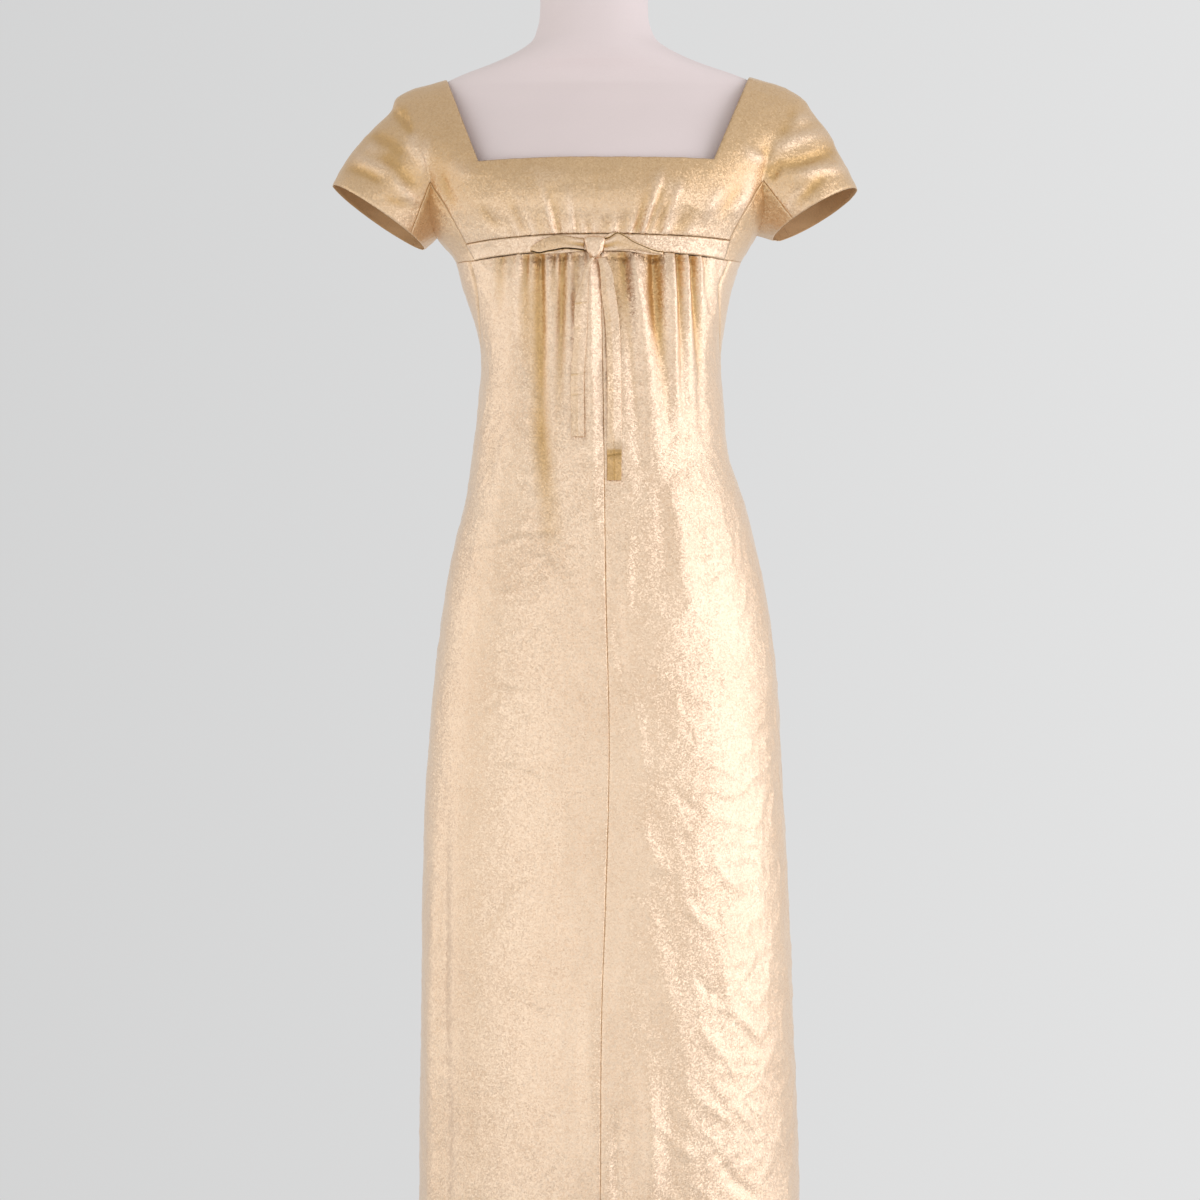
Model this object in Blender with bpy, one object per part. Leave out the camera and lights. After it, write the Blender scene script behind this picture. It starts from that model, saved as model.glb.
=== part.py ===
"""A gold evening gown with an empire line, standing on a limbless dress form.

Metres, +Z up, front at -Y. Left and right are as seen from the front, so left is -X.
The origin is the middle of the underside of the stand. Every panel of the gown is cut from
one base surface, so neighbours share their seam lines and stay one seam gap apart.
"""

import math

import bpy
import numpy as np
from mathutils.kdtree import KDTree

MM = 0.001

# Cloth and seams
CLOTH = 1.5 * MM
RIBBON = 1.0 * MM
SEAM_GAP = 0.3 * MM
SAME_PLACE = 0.02 * MM
SHARPEST_CORNER = 0.05
MIDDLE_Y = 6 * MM
SQUARENESS = 2.3
ARCH_HEIGHT = 95 * MM

# How far the rows of the shoulder dip on their way from the neckline to the armhole, as shares
ARMHOLE_EASE = 0.86
YOKE_DIP = 0.8
CUFF_LEVEL = 0.5

# Near the band the cloth's normals are turned level, over this height
LEVEL_HEIGHT = 30 * MM
LEVEL_START = 0.35
FRONT_ONLY = -30 * MM

# Heights
HEM = 0.045
BAND_TOP = 1.2312
BAND_BOTTOM = 1.2149
NECK_FRONT = 1.3105
NECK_BACK = 1.345

# Grid sizes of the panels
SLEEVE_COLUMNS = 6
STRAP_COLUMNS = 4
FRONT_COLUMNS = 22
BACK_COLUMNS = 7
SKIRT_COLUMNS = 40
UNDERARM_ROWS = 3
STRAP_ROWS = 6
YOKE_ROWS = 2
BUST_ROWS = 4

# Where the rows of the skirt lie, as shares of the way from the band to the hem
SKIRT_ROWS = (0, 0.01, 0.025, 0.045, 0.07, 0.1, 0.135, 0.175, 0.225,
              0.28, 0.34, 0.41, 0.49, 0.58, 0.68, 0.79, 0.9, 1)
FINE_SKIRT_ROWS = 8
MIDDLE_SKIRT_ROWS = 12


class Table:
    """A short table with named columns, read along its first column by a smooth curve."""

    def __init__(self, names, *rows):
        self.names = names
        self.rows = np.array(rows, float)

    def at(self, key, name):
        """Catmull-Rom curve through the column, held at its end values past both ends."""
        knots = self.rows[:, 0]
        values = self.rows[:, self.names.index(name)]
        slopes = np.gradient(values, knots)
        key = np.clip(np.asarray(key, float), knots[0], knots[-1])
        low = np.clip(np.searchsorted(knots, key, side="right") - 1, 0, len(knots) - 2)
        span = knots[low + 1] - knots[low]
        part = (key - knots[low]) / span
        rest = 1 - part
        return (
            values[low] * (1 + 2 * part) * rest**2
            + slopes[low] * span * part * rest**2
            + values[low + 1] * part**2 * (3 - 2 * part)
            - slopes[low + 1] * span * part**2 * rest
        )


# Half widths of the gown to the left and right, and its reach to the front and back of the middle plane
GOWN = Table(
    ("height", "left", "right", "front", "back"),
    (0.045, 0.190, 0.217, 0.156, 0.144),
    (0.230, 0.1865, 0.212, 0.152, 0.137),
    (0.440, 0.184, 0.205, 0.145, 0.127),
    (0.650, 0.180, 0.195, 0.138, 0.118),
    (0.820, 0.165, 0.1835, 0.133, 0.113),
    (0.880, 0.1565, 0.174, 0.131, 0.110),
    (0.922, 0.148, 0.164, 0.129, 0.105),
    (0.964, 0.1375, 0.153, 0.1265, 0.097),
    (1.006, 0.131, 0.139, 0.1235, 0.087),
    (1.060, 0.125, 0.133, 0.1195, 0.074),
    (1.120, 0.1215, 0.1295, 0.1165, 0.062),
    (1.154, 0.1295, 0.1348, 0.1155, 0.063),
    (1.186, 0.141, 0.142, 0.1135, 0.070),
    (1.2175, 0.150, 0.153, 0.1095, 0.079),
    (1.2388, 0.167, 0.1654, 0.113, 0.085),
    (1.265, 0.181, 0.180, 0.1205, 0.090),
    (1.290, 0.190, 0.189, 0.1165, 0.093),
    (1.320, 0.213, 0.212, 0.102, 0.0935),
    (1.345, 0.236, 0.236, 0.089, 0.089),
    (1.405, 0.262, 0.262, 0.072, 0.074),
)

# The places where each half of the gown turns, as seen from the front: (out from the middle, height)
SIDES = {
    "left": {
        "sign": -1,
        "strap_top": (0.158, 1.4055),
        "front_corner": (0.1216, 1.3081),
        "back_corner": (0.120, NECK_BACK),
        "strap_line_at_band": 0.100,
        "armhole_top": (0.1916, 1.396),
        "gusset_tip": (0.1727, 1.2903),
        "armpit_height": 1.240,
        "cuff_tip": (0.278, 1.294),
        "cuff_bottom": (0.1817, 1.2286),
        "cuff_depth": 0.062,
        "cuff_tilt": 3 * MM,
        "seam_angle": math.radians(137),
        "band_end_top": 1.2255,
        "band_end_bottom": 1.209,
    },
    "right": {
        "sign": 1,
        "strap_top": (0.160, 1.4085),
        "front_corner": (0.1198, 1.3101),
        "back_corner": (0.120, NECK_BACK),
        "strap_line_at_band": 0.100,
        "armhole_top": (0.198, 1.397),
        "gusset_tip": (0.1717, 1.2922),
        "armpit_height": 1.243,
        "cuff_tip": (0.2738, 1.2897),
        "cuff_bottom": (0.1853, 1.239),
        "cuff_depth": 0.062,
        "cuff_tilt": 5 * MM,
        "seam_angle": math.radians(124),
        "band_end_top": 1.2295,
        "band_end_bottom": 1.210,
    },
}

# The outline of each sleeve from the shoulder to the cuff's tip
SLEEVE_TOPS = {
    "left": Table(
        ("share", "out", "height"),
        (0.0, 0.1916, 1.396),
        (0.16, 0.2106, 1.3855),
        (0.30, 0.2158, 1.3729),
        (0.50, 0.2348, 1.3539),
        (0.78, 0.2622, 1.3223),
        (1.0, 0.278, 1.294),
    ),
    "right": Table(
        ("share", "out", "height"),
        (0.0, 0.198, 1.397),
        (0.16, 0.2148, 1.3865),
        (0.36, 0.2285, 1.3685),
        (0.58, 0.2440, 1.3479),
        (0.80, 0.2570, 1.3223),
        (1.0, 0.2738, 1.2897),
    ),
}

# The seam from each gusset's front tip down to the end of the band, then the side seam
FRONT_SEAMS = {
    "left": Table(
        ("height", "out"),
        (1.209, 0.1259),
        (1.2255, 0.1352),
        (1.2544, 0.1507),
        (1.2903, 0.1727),
    ),
    "right": Table(
        ("height", "out"),
        (1.210, 0.1317),
        (1.2295, 0.1374),
        (1.2560, 0.1507),
        (1.2922, 0.1717),
    ),
}
SIDE_SEAM = Table(
    ("height", "angle"),
    (0.045, 92.0),
    (0.900, 91.0),
    (1.050, 90.0),
    (1.105, 85.0),
    (1.145, 71.0),
    (1.185, 60.0),
    (1.210, 59.0),
)
SIDE_SEAM_EASE = 30 * MM
GUSSET_END = math.radians(4)

# The gusset's back seam sweeps under the armpit: shares of its turn and of its drop on each row
GUSSET_BACK = Table(
    ("row", "turn", "drop"),
    (0, 0, 0),
    (1, 0.07, 0.40),
    (2, 0.18, 0.70),
    (3, 0.34, 0.88),
    (4, 0.60, 0.965),
    (5, 1, 1),
)

# The centre-front seam of the skirt wanders a little
CENTRE_SEAM = Table(
    ("height", "across"),
    (0.045, 0.0030),
    (0.280, 0.0036),
    (0.460, 0.0052),
    (0.540, 0.0082),
    (0.720, 0.0123),
    (0.860, 0.0092),
    (1.100, 0.0060),
    (1.215, 0.0037),
)

# Gathers at the band: where each starts and where it fades out, how long, deep and wide it is
GATHER_NAMES = ("start", "end", "length", "depth", "width")
SKIRT_TROUGHS = Table(
    GATHER_NAMES,
    (-0.1110, -0.1120, 0.06, 1.4 * MM, 5 * MM),
    (-0.0983, -0.1000, 0.09, 3.2 * MM, 5 * MM),
    (-0.0860, -0.0880, 0.07, 2.0 * MM, 4 * MM),
    (-0.0730, -0.0770, 0.14, 3.8 * MM, 5 * MM),
    (-0.0590, -0.0560, 0.26, 4.2 * MM, 9 * MM),
    (-0.0446, -0.0430, 0.09, 3.2 * MM, 4 * MM),
    (-0.0330, -0.0350, 0.17, 4.0 * MM, 5 * MM),
    (-0.0235, -0.0240, 0.08, 2.4 * MM, 4 * MM),
    (-0.0130, -0.0150, 0.10, 2.4 * MM, 4 * MM),
    (0.0150, 0.0190, 0.12, 2.6 * MM, 5 * MM),
    (0.0260, 0.0300, 0.08, 2.2 * MM, 4 * MM),
    (0.0470, 0.0560, 0.09, 2.4 * MM, 5 * MM),
    (0.0600, 0.0620, 0.12, 3.8 * MM, 5 * MM),
    (0.0850, 0.0900, 0.16, 4.0 * MM, 5 * MM),
    (0.0985, 0.1120, 0.16, 4.0 * MM, 5 * MM),
    (0.1120, 0.1170, 0.08, 2.0 * MM, 4 * MM),
)
SKIRT_RIDGES = Table(
    GATHER_NAMES,
    (-0.0070, -0.0030, 0.40, 1.8 * MM, 8 * MM),
    (0.0356, 0.0793, 0.34, 4.2 * MM, 11 * MM),
    (0.0730, 0.0960, 0.26, 2.6 * MM, 8 * MM),
)
BODICE_TROUGHS = Table(
    GATHER_NAMES,
    (-0.0720, -0.0900, 0.045, 1.8 * MM, 5 * MM),
    (-0.0560, -0.0640, 0.030, 1.2 * MM, 4 * MM),
    (-0.0385, -0.0520, 0.050, 2.0 * MM, 5 * MM),
    (-0.0230, -0.0280, 0.025, 1.3 * MM, 4 * MM),
    (-0.0080, -0.0100, 0.022, 1.2 * MM, 4 * MM),
    (0.0100, 0.0120, 0.022, 1.2 * MM, 4 * MM),
    (0.0260, 0.0330, 0.028, 1.3 * MM, 4 * MM),
    (0.0420, 0.0570, 0.050, 2.0 * MM, 5 * MM),
    (0.0640, 0.0790, 0.045, 1.8 * MM, 5 * MM),
    (0.0795, 0.1000, 0.035, 1.6 * MM, 5 * MM),
)
RIDGE_START = 30 * MM
SWELL = 2.2 * MM
SWELL_START = 12 * MM
SWELL_LENGTH = 0.25
GATHERED_HALF = 0.126
GATHER_EASE = 20 * MM

# Bow
BAND_RISE = 0.8 * MM
BOW_SEAT = 0.6 * MM
KNOT = {
    "across": -0.0036,
    "height": 1.2172,
    "half_width": 11 * MM,
    "half_depth": 4.6 * MM,
    "half_height": 10.3 * MM,
    "taper": 0.3,
}
# Each loop's length, and its middle's height and its width at the knot and at its tip
LOOPS = {
    "left": {"length": 55 * MM, "heights": (1.2214, 1.2202), "widths": (14 * MM, 15.5 * MM)},
    "right": {"length": 62 * MM, "heights": (1.2222, 1.2135), "widths": (15 * MM, 6 * MM)},
}
KNOT_ROUNDNESS = 0.6
KNOT_LAST_TIER = 80
LOOP_RADIUS = 2.2 * MM
LOOP_PUFF = 1.0 * MM
LOOP_END_LIFT = 1.5 * MM
TAIL_NAMES = ("height", "across", "lift", "width", "turn")
TAILS = {
    "left": Table(
        TAIL_NAMES,
        (1.0245, -0.0192, 1.8 * MM, 13.2 * MM, 3),
        (1.0500, -0.0194, 1.8 * MM, 13.4 * MM, -3),
        (1.0813, -0.0198, 1.8 * MM, 13.8 * MM, 4),
        (1.1270, -0.0166, 1.9 * MM, 13.4 * MM, -4),
        (1.1676, -0.0146, 2.2 * MM, 12.4 * MM, 4),
        (1.1840, -0.0118, 2.8 * MM, 7.0 * MM, 0),
        (1.1955, -0.0097, 3.8 * MM, 5.0 * MM, 0),
        (1.2066, -0.0042, 5.0 * MM, 4.6 * MM, 0),
    ),
    "right": Table(
        TAIL_NAMES,
        (0.9800, 0.0174, 1.8 * MM, 15.0 * MM, -3),
        (1.0130, 0.0176, 1.8 * MM, 15.2 * MM, -5),
        (1.0650, 0.0179, 1.8 * MM, 15.0 * MM, 6),
        (1.1130, 0.0169, 1.9 * MM, 14.8 * MM, 7),
        (1.1430, 0.0153, 2.0 * MM, 14.6 * MM, 3),
        (1.1737, 0.0112, 2.4 * MM, 14.4 * MM, -3),
        (1.1940, 0.0090, 3.6 * MM, 12.0 * MM, 0),
        (1.2070, 0.0048, 5.0 * MM, 8.0 * MM, 0),
    ),
}
TAIL_ROWS = 20

# Zip behind the centre-back seam
ZIP_TOP = 1.332
ZIP_BOTTOM = 0.930
ZIP_WIDTH = 16 * MM
ZIP_THICKNESS = 1.2 * MM
ZIP_CLEARANCE = 1.1 * MM
ZIP_ROWS = 14

# The form's half width, its reach to the front and back, and the shift of its middle
FORM = Table(
    ("height", "half", "front", "back", "shift"),
    (0.800, 0.138, 0.104, 0.086, 0.006),
    (0.806, 0.146, 0.111, 0.093, 0.006),
    (0.880, 0.148, 0.117, 0.100, 0.006),
    (0.960, 0.131, 0.114, 0.090, 0.004),
    (1.050, 0.116, 0.104, 0.070, 0.002),
    (1.120, 0.112, 0.096, 0.0565, 0.002),
    (1.170, 0.124, 0.096, 0.060, 0.001),
    (1.215, 0.140, 0.101, 0.072, 0.0),
    (1.240, 0.150, 0.108, 0.079, 0.0),
    (1.272, 0.159, 0.1165, 0.084, 0.0),
    (1.311, 0.170, 0.1015, 0.0865, 0.0),
    (1.345, 0.175, 0.079, 0.080, 0.0),
    (1.372, 0.1765, 0.060, 0.064, 0.0),
    (1.388, 0.1745, 0.051, 0.054, 0.001),
    (1.3965, 0.170, 0.046, 0.049, 0.002),
    (1.4042, 0.158, 0.045, 0.048, 0.0025),
    (1.4120, 0.139, 0.046, 0.049, 0.0015),
    (1.4205, 0.114, 0.050, 0.052, 0.0),
    (1.4315, 0.088, 0.053, 0.054, -0.001),
    (1.443, 0.069, 0.054, 0.054, -0.002),
    (1.460, 0.0595, 0.053, 0.052, -0.003),
    (1.485, 0.0565, 0.053, 0.051, -0.003),
    (1.515, 0.0560, 0.053, 0.051, -0.003),
    (1.522, 0.0500, 0.047, 0.045, -0.003),
)
FORM_HEIGHTS = (
    0.800, 0.806, 0.84, 0.88, 0.92, 0.96, 1.005, 1.05, 1.09, 1.13, 1.17, 1.205, 1.235, 1.262, 1.29,
    1.318, 1.345, 1.365, 1.381, 1.391, 1.399, 1.406, 1.413, 1.421, 1.431, 1.443, 1.46, 1.485, 1.515,
    1.522,
)
FORM_SIDES = 32
FORM_SQUARENESS = 2.2

# Stand
POLE_RADIUS = 14 * MM
BASE_RADIUS = 0.145
BASE_HEIGHT = 16 * MM
BASE_BEVEL = 4 * MM
COLLAR_RADIUS = 30 * MM
COLLAR_HEIGHT = 14 * MM
ROUND_SIDES = 32

GOLD = ((0.72, 0.50, 0.25, 1), 0.38, 0.85)
GOLD_RIBBON = ((0.62, 0.42, 0.20, 1), 0.42, 0.8)
TAPE = ((0.55, 0.42, 0.25, 1), 0.7, 0.0)
FORM_CLOTH = ((0.83, 0.74, 0.71, 1), 0.85, 0.0)
DARK_METAL = ((0.06, 0.06, 0.065, 1), 0.35, 0.9)


def clear_scene():
    for item in list(bpy.data.objects):
        bpy.data.objects.remove(item)


def new_object(name, points, faces, look):
    """One named object with its own material, its mesh in world coordinates."""
    mesh = bpy.data.meshes.new(name)
    mesh.from_pydata([tuple(point) for point in points], [], faces)
    mesh.validate()
    mesh.shade_smooth()
    mesh.set_sharp_from_angle(angle=math.radians(50))
    item = bpy.data.objects.new(name, mesh)
    bpy.context.scene.collection.objects.link(item)
    colour, roughness, metallic = look
    material = bpy.data.materials.new(name)
    material.use_nodes = True
    surface = material.node_tree.nodes["Principled BSDF"]
    surface.inputs["Base Color"].default_value = colour
    surface.inputs["Roughness"].default_value = roughness
    surface.inputs["Metallic"].default_value = metallic
    item.data.materials.append(material)
    return item


def mix(first, second, share):
    return first * (1 - share) + second * share


def reach_of(height, facing):
    """The gown's reach from the middle plane, to the front for facing below 0, else to the back."""
    return np.where(facing < 0, GOWN.at(height, "front"), GOWN.at(height, "back"))


def middle_and_half(height):
    left = GOWN.at(height, "left")
    right = GOWN.at(height, "right")
    return (right - left) / 2, (right + left) / 2


def depth_at(across, height, facing, arch=1.0):
    """The base surface's y at a place seen from the front: a superellipse that the arch flattens."""
    middle, half = middle_and_half(height)
    share = np.clip(np.abs(across - middle) / half, 0, 1)
    bulge = (1 - share**SQUARENESS) ** (1 / SQUARENESS)
    return MIDDLE_Y + facing * reach_of(height, facing) * arch * bulge


def ring_point(angle, height):
    """A point of the base surface; the angle is 0 at centre front and grows towards the right side."""
    angle, height = np.broadcast_arrays(np.asarray(angle, float), np.asarray(height, float))
    middle, half = middle_and_half(height)
    sine = np.sin(angle)
    cosine = np.cos(angle)
    power = 2 / SQUARENESS
    across = middle + half * np.sign(sine) * np.abs(sine) ** power
    facing = -np.sign(cosine)
    depth = MIDDLE_Y + facing * reach_of(height, facing) * np.abs(cosine) ** power
    return np.stack([across, depth, height], axis=-1)


def angle_at(across, height, facing):
    """The ring angle, without its sign, of a place on the front or back of the base surface."""
    middle, half = middle_and_half(height)
    share = np.clip(np.abs(across - middle) / half, 0, 1)
    angle = np.arcsin(share ** (SQUARENESS / 2))
    return np.where(facing < 0, angle, math.pi - angle)


def arch_share(drop):
    """How far the cloth has come forward at a drop below the shoulder seam, along a quarter circle."""
    return np.sqrt(1 - (1 - np.clip(drop / ARCH_HEIGHT, 0, 1)) ** 2)


def seam_heights(side):
    """Heights of the rows from the gusset's tip to the end of the band's lower edge."""
    place = SIDES[side]
    bust = np.linspace(place["gusset_tip"][1], place["band_end_top"], BUST_ROWS + 1)
    return np.append(bust, place["band_end_bottom"])


def upper_shares(neck_drop):
    """Shares of the way from the shoulder seam to the gusset's tip, fine where the cloth arches over."""
    turn = np.linspace(0, 1, STRAP_ROWS + 1) * math.acos(1 - neck_drop / ARCH_HEIGHT)
    strap = (1 - np.cos(turn)) / (1 - math.cos(turn[-1]))
    yoke = np.linspace(0, 1, YOKE_ROWS + 1)[1:]
    return strap, yoke


def armhole_line(side, facing):
    """The line where the sleeve leaves the body, from the shoulder seam to the gusset's tip."""
    place = SIDES[side]
    top = np.array(place["armhole_top"])
    tip = np.array(place["gusset_tip"])
    corner = place["front_corner"] if facing < 0 else place["back_corner"]
    drop = place["strap_top"][1] - corner[1]
    strap, yoke = upper_shares(drop)
    share = drop / (top[1] - tip[1]) * ARMHOLE_EASE
    shares = np.concatenate([strap * share, mix(share, 1.0, yoke)])
    flat = mix(top, tip, shares[:, None])
    across = place["sign"] * flat[:, 0]
    arch = arch_share(top[1] - flat[:, 1])
    depth = depth_at(across, flat[:, 1], facing, arch)
    return np.stack([across, depth, flat[:, 1]], axis=-1)


def strap_block(side, facing):
    """Rows from the shoulder seam to the gusset's tip, columns from the armhole to the neckline."""
    place = SIDES[side]
    outer = armhole_line(side, facing)[:, [0, 2]]
    top = np.array(place["strap_top"])
    corner = np.array(place["front_corner"] if facing < 0 else place["back_corner"])
    strap, yoke = upper_shares(top[1] - corner[1])
    down = yoke_line(side, facing)
    inner = np.concatenate([mix(top, corner, strap[:, None]), mix(corner, down, yoke[:, None])])
    inner = inner * (place["sign"], 1)
    share = np.linspace(0, 1, STRAP_COLUMNS + 1)[None, :, None]
    flat = mix(outer[:, None, :], inner[:, None, :], share)
    arch = arch_share(flat[:1, :, 1] - flat[:, :, 1])
    depth = depth_at(flat[:, :, 0], flat[:, :, 1], facing, arch)
    return np.stack([flat[:, :, 0], depth, flat[:, :, 1]], axis=-1)


def yoke_line(side, facing):
    """Where the line below the strap's inner edge crosses the row of the gusset's tip."""
    place = SIDES[side]
    corner = place["front_corner"] if facing < 0 else place["back_corner"]
    height = mix(corner[1], place["gusset_tip"][1], YOKE_DIP)
    share = (corner[1] - height) / (corner[1] - BAND_TOP)
    return np.array([mix(corner[0], place["strap_line_at_band"], share), height])


def sleeve_block(side, facing):
    """Rows from the shoulder seam to the gusset's tip, columns from the cuff to the armhole.

    Seen from the front, each column runs straight from the sleeve's outline to its underarm seam.
    Its depth goes from the armhole's to a half ellipse at the cuff, leaving the body smoothly.
    """
    place = SIDES[side]
    inner = armhole_line(side, facing)
    along = np.linspace(1, 0, SLEEVE_COLUMNS + 1)[None, :]
    cuff = cuff_point(side, facing, np.linspace(0, place["seam_angle"], len(inner)))
    tops = SLEEVE_TOPS[side]
    top = np.stack([place["sign"] * tops.at(along[0], "out"), tops.at(along[0], "height")], axis=-1)
    bottom = mix(inner[-1][None, [0, 2]], cuff[-1][None, [0, 2]], along[0][:, None])
    share_in = (inner[:, 2] - inner[0, 2]) / (inner[-1, 2] - inner[0, 2])
    share_out = (cuff[:, 2] - cuff[0, 2]) / (cuff[-1, 2] - cuff[0, 2])
    share = mix(share_in[:, None], share_out[:, None], along)
    flat = mix(top[None], bottom[None], share[:, :, None])
    bow_out = (cuff[:, None, [0, 2]] - mix(cuff[0, [0, 2]], cuff[-1, [0, 2]], share_out[:, None])[:, None])
    flat = flat + bow_out * along[:, :, None]
    start = inner[:, 1][:, None]
    end = cuff[:, 1][:, None]
    arch = arch_share(inner[0, 2] - inner[:, 2])
    nearby = depth_at(inner[:, 0] + place["sign"] * MM, inner[:, 2], facing, arch)
    steep = ((nearby - inner[:, 1]) / MM * abs(cuff[-1, 0] - inner[0, 0]))[:, None]
    ease = np.sin(np.linspace(0, math.pi, len(inner)))[:, None]
    level = (end - start) * CUFF_LEVEL
    curve = (
        start * (1 + 2 * along) * (1 - along) ** 2
        + steep * along * (1 - along) ** 2
        + end * along**2 * (3 - 2 * along)
        - level * along**2 * (1 - along)
    )
    depth = mix(mix(start, end, along), curve, ease)
    return np.stack([flat[:, :, 0], depth, flat[:, :, 1]], axis=-1)


def cuff_point(side, facing, turn):
    """A point of the cuff, an ellipse from its tip (turn 0) round to its lowest point (turn 180)."""
    place = SIDES[side]
    tip = np.array(place["cuff_tip"]) * (place["sign"], 1)
    bottom = np.array(place["cuff_bottom"]) * (place["sign"], 1)
    chord = (bottom - tip) / np.linalg.norm(bottom - tip)
    outward = np.array([chord[1] * place["sign"], -chord[0] * place["sign"]])
    outward = outward * np.sign(-outward[1])
    turn = np.asarray(turn, float)
    flat = mix(tip, bottom, ((1 - np.cos(turn)) / 2)[..., None])
    flat = flat + facing * outward * place["cuff_tilt"] * np.sin(turn)[..., None]
    depth = MIDDLE_Y + facing * place["cuff_depth"] * np.sin(turn)
    return np.stack([flat[..., 0], depth, flat[..., 1]], axis=-1)


def bust_block(side, shares):
    """Front rows from the neckline to the top of the band, columns from the strap's line to the middle."""
    place = SIDES[side]
    corner = np.array(place["front_corner"])
    at_yoke = yoke_line(side, -1)
    yoke = np.linspace(0, 1, YOKE_ROWS + 1)[:, None]
    bust = np.linspace(0, 1, BUST_ROWS + 1)[1:, None]
    band_height = band_edge(side, place["strap_line_at_band"], "top")
    at_band = np.array([place["strap_line_at_band"], band_height])
    inner = np.concatenate([mix(corner, at_yoke, yoke), mix(at_yoke, at_band, bust)])
    middle_yoke = mix(NECK_FRONT, at_yoke[1], yoke)
    middle = np.concatenate([middle_yoke, mix(at_yoke[1], BAND_TOP, bust)])
    shares = np.asarray(shares, float)[None, :]
    across = place["sign"] * inner[:, :1] * shares
    height = mix(middle, inner[:, 1:], shares**2)
    return np.stack([across, depth_at(across, height, -1), height], axis=-1)


def band_edge(side, out, edge):
    """Height of the band's edge, which dips towards its ends."""
    place = SIDES[side]
    middle = BAND_TOP if edge == "top" else BAND_BOTTOM
    end_height = place["band_end_" + edge]
    end_out = FRONT_SEAMS[side].at(end_height, "out")
    return middle + (end_height - middle) * (np.asarray(out) / end_out) ** 2


def bust_side_block(side):
    """Front rows below the gusset's tip, columns from the gusset's seam to the strap's line."""
    place = SIDES[side]
    heights = seam_heights(side)[:-1]
    outer = np.stack([FRONT_SEAMS[side].at(heights, "out"), heights], axis=-1)
    inner = bust_block(side, [1.0])[YOKE_ROWS:, 0, :][:, [0, 2]] * (place["sign"], 1)
    share = np.linspace(0, 1, STRAP_COLUMNS + 1)[None, :, None]
    flat = mix(outer[:, None, :], inner[:, None, :], share) * (place["sign"], 1)
    out = np.abs(flat[-1, :, 0])
    flat[-1, :, 1] = band_edge(side, out, "top")
    return np.stack([flat[:, :, 0], depth_at(flat[:, :, 0], flat[:, :, 1], -1), flat[:, :, 1]], axis=-1)


def front_grid():
    """The whole front bodice from the left cuff to the right cuff, with the places that stay empty."""
    rows = STRAP_ROWS + YOKE_ROWS + BUST_ROWS + 1
    tip_row = STRAP_ROWS + YOKE_ROWS
    half_columns = SLEEVE_COLUMNS + STRAP_COLUMNS + FRONT_COLUMNS
    columns = 2 * half_columns + 1
    points = np.zeros((rows, columns, 3))
    keep = np.zeros((rows - 1, columns - 1), bool)
    strap_at = SLEEVE_COLUMNS
    inner_at = SLEEVE_COLUMNS + STRAP_COLUMNS
    shares = np.linspace(1, 0, FRONT_COLUMNS + 1)
    for side in SIDES:
        half = np.zeros((rows, half_columns + 1, 3))
        half[:tip_row + 1, :strap_at + 1] = sleeve_block(side, -1)
        half[:tip_row + 1, strap_at:inner_at + 1] = strap_block(side, -1)
        half[tip_row:, strap_at:inner_at + 1] = bust_side_block(side)
        half[STRAP_ROWS:, inner_at:] = bust_block(side, shares)
        kept = np.zeros((rows - 1, half_columns), bool)
        kept[:tip_row, :inner_at] = True
        kept[tip_row:, strap_at:] = True
        kept[STRAP_ROWS:, strap_at:] = True
        if side == "left":
            points[:, :half_columns + 1] = half
            keep[:, :half_columns] = kept
        else:
            points[:, half_columns:] = half[:, ::-1]
            keep[:, half_columns:] = kept[:, ::-1]
    return points, keep


def band_grid():
    """The band's two edges, on the same columns as the bodice's lower edge."""
    points, _ = front_grid()
    top = points[-1, SLEEVE_COLUMNS:-SLEEVE_COLUMNS]
    rows = [top]
    bottom = np.empty_like(top)
    for side, place in SIDES.items():
        here = np.sign(top[:, 0]) == place["sign"]
        top_end = FRONT_SEAMS[side].at(place["band_end_top"], "out")
        bottom_end = FRONT_SEAMS[side].at(place["band_end_bottom"], "out")
        out = np.abs(top[here, 0]) * (1 + (bottom_end / top_end - 1) * (np.abs(top[here, 0]) / top_end) ** 3)
        height = band_edge(side, out, "bottom")
        across = place["sign"] * out
        bottom[here] = np.stack([across, depth_at(across, height, -1), height], axis=-1)
    centre = top[:, 0] == 0
    bottom[centre] = (0, depth_at(0.0, BAND_BOTTOM, -1), BAND_BOTTOM)
    rows.append(bottom)
    return np.stack(rows)


def side_heights(side):
    """Heights of the rows at the side seam, which the skirt and the back share."""
    top = SIDES[side]["band_end_bottom"]
    return mix(top, HEM, np.array(SKIRT_ROWS))


def side_angle(side, height):
    """The side seam's angle; at the band it starts at the far corner of the gusset's end."""
    place = SIDES[side]
    top = place["band_end_bottom"]
    out = FRONT_SEAMS[side].at(top, "out")
    corner = angle_at(place["sign"] * out, top, -1) + GUSSET_END
    share = np.clip((top - np.asarray(height)) / SIDE_SEAM_EASE, 0, 1)
    ease = share**2 * (3 - 2 * share)
    return mix(corner, np.radians(SIDE_SEAM.at(height, "angle")), ease)


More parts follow.
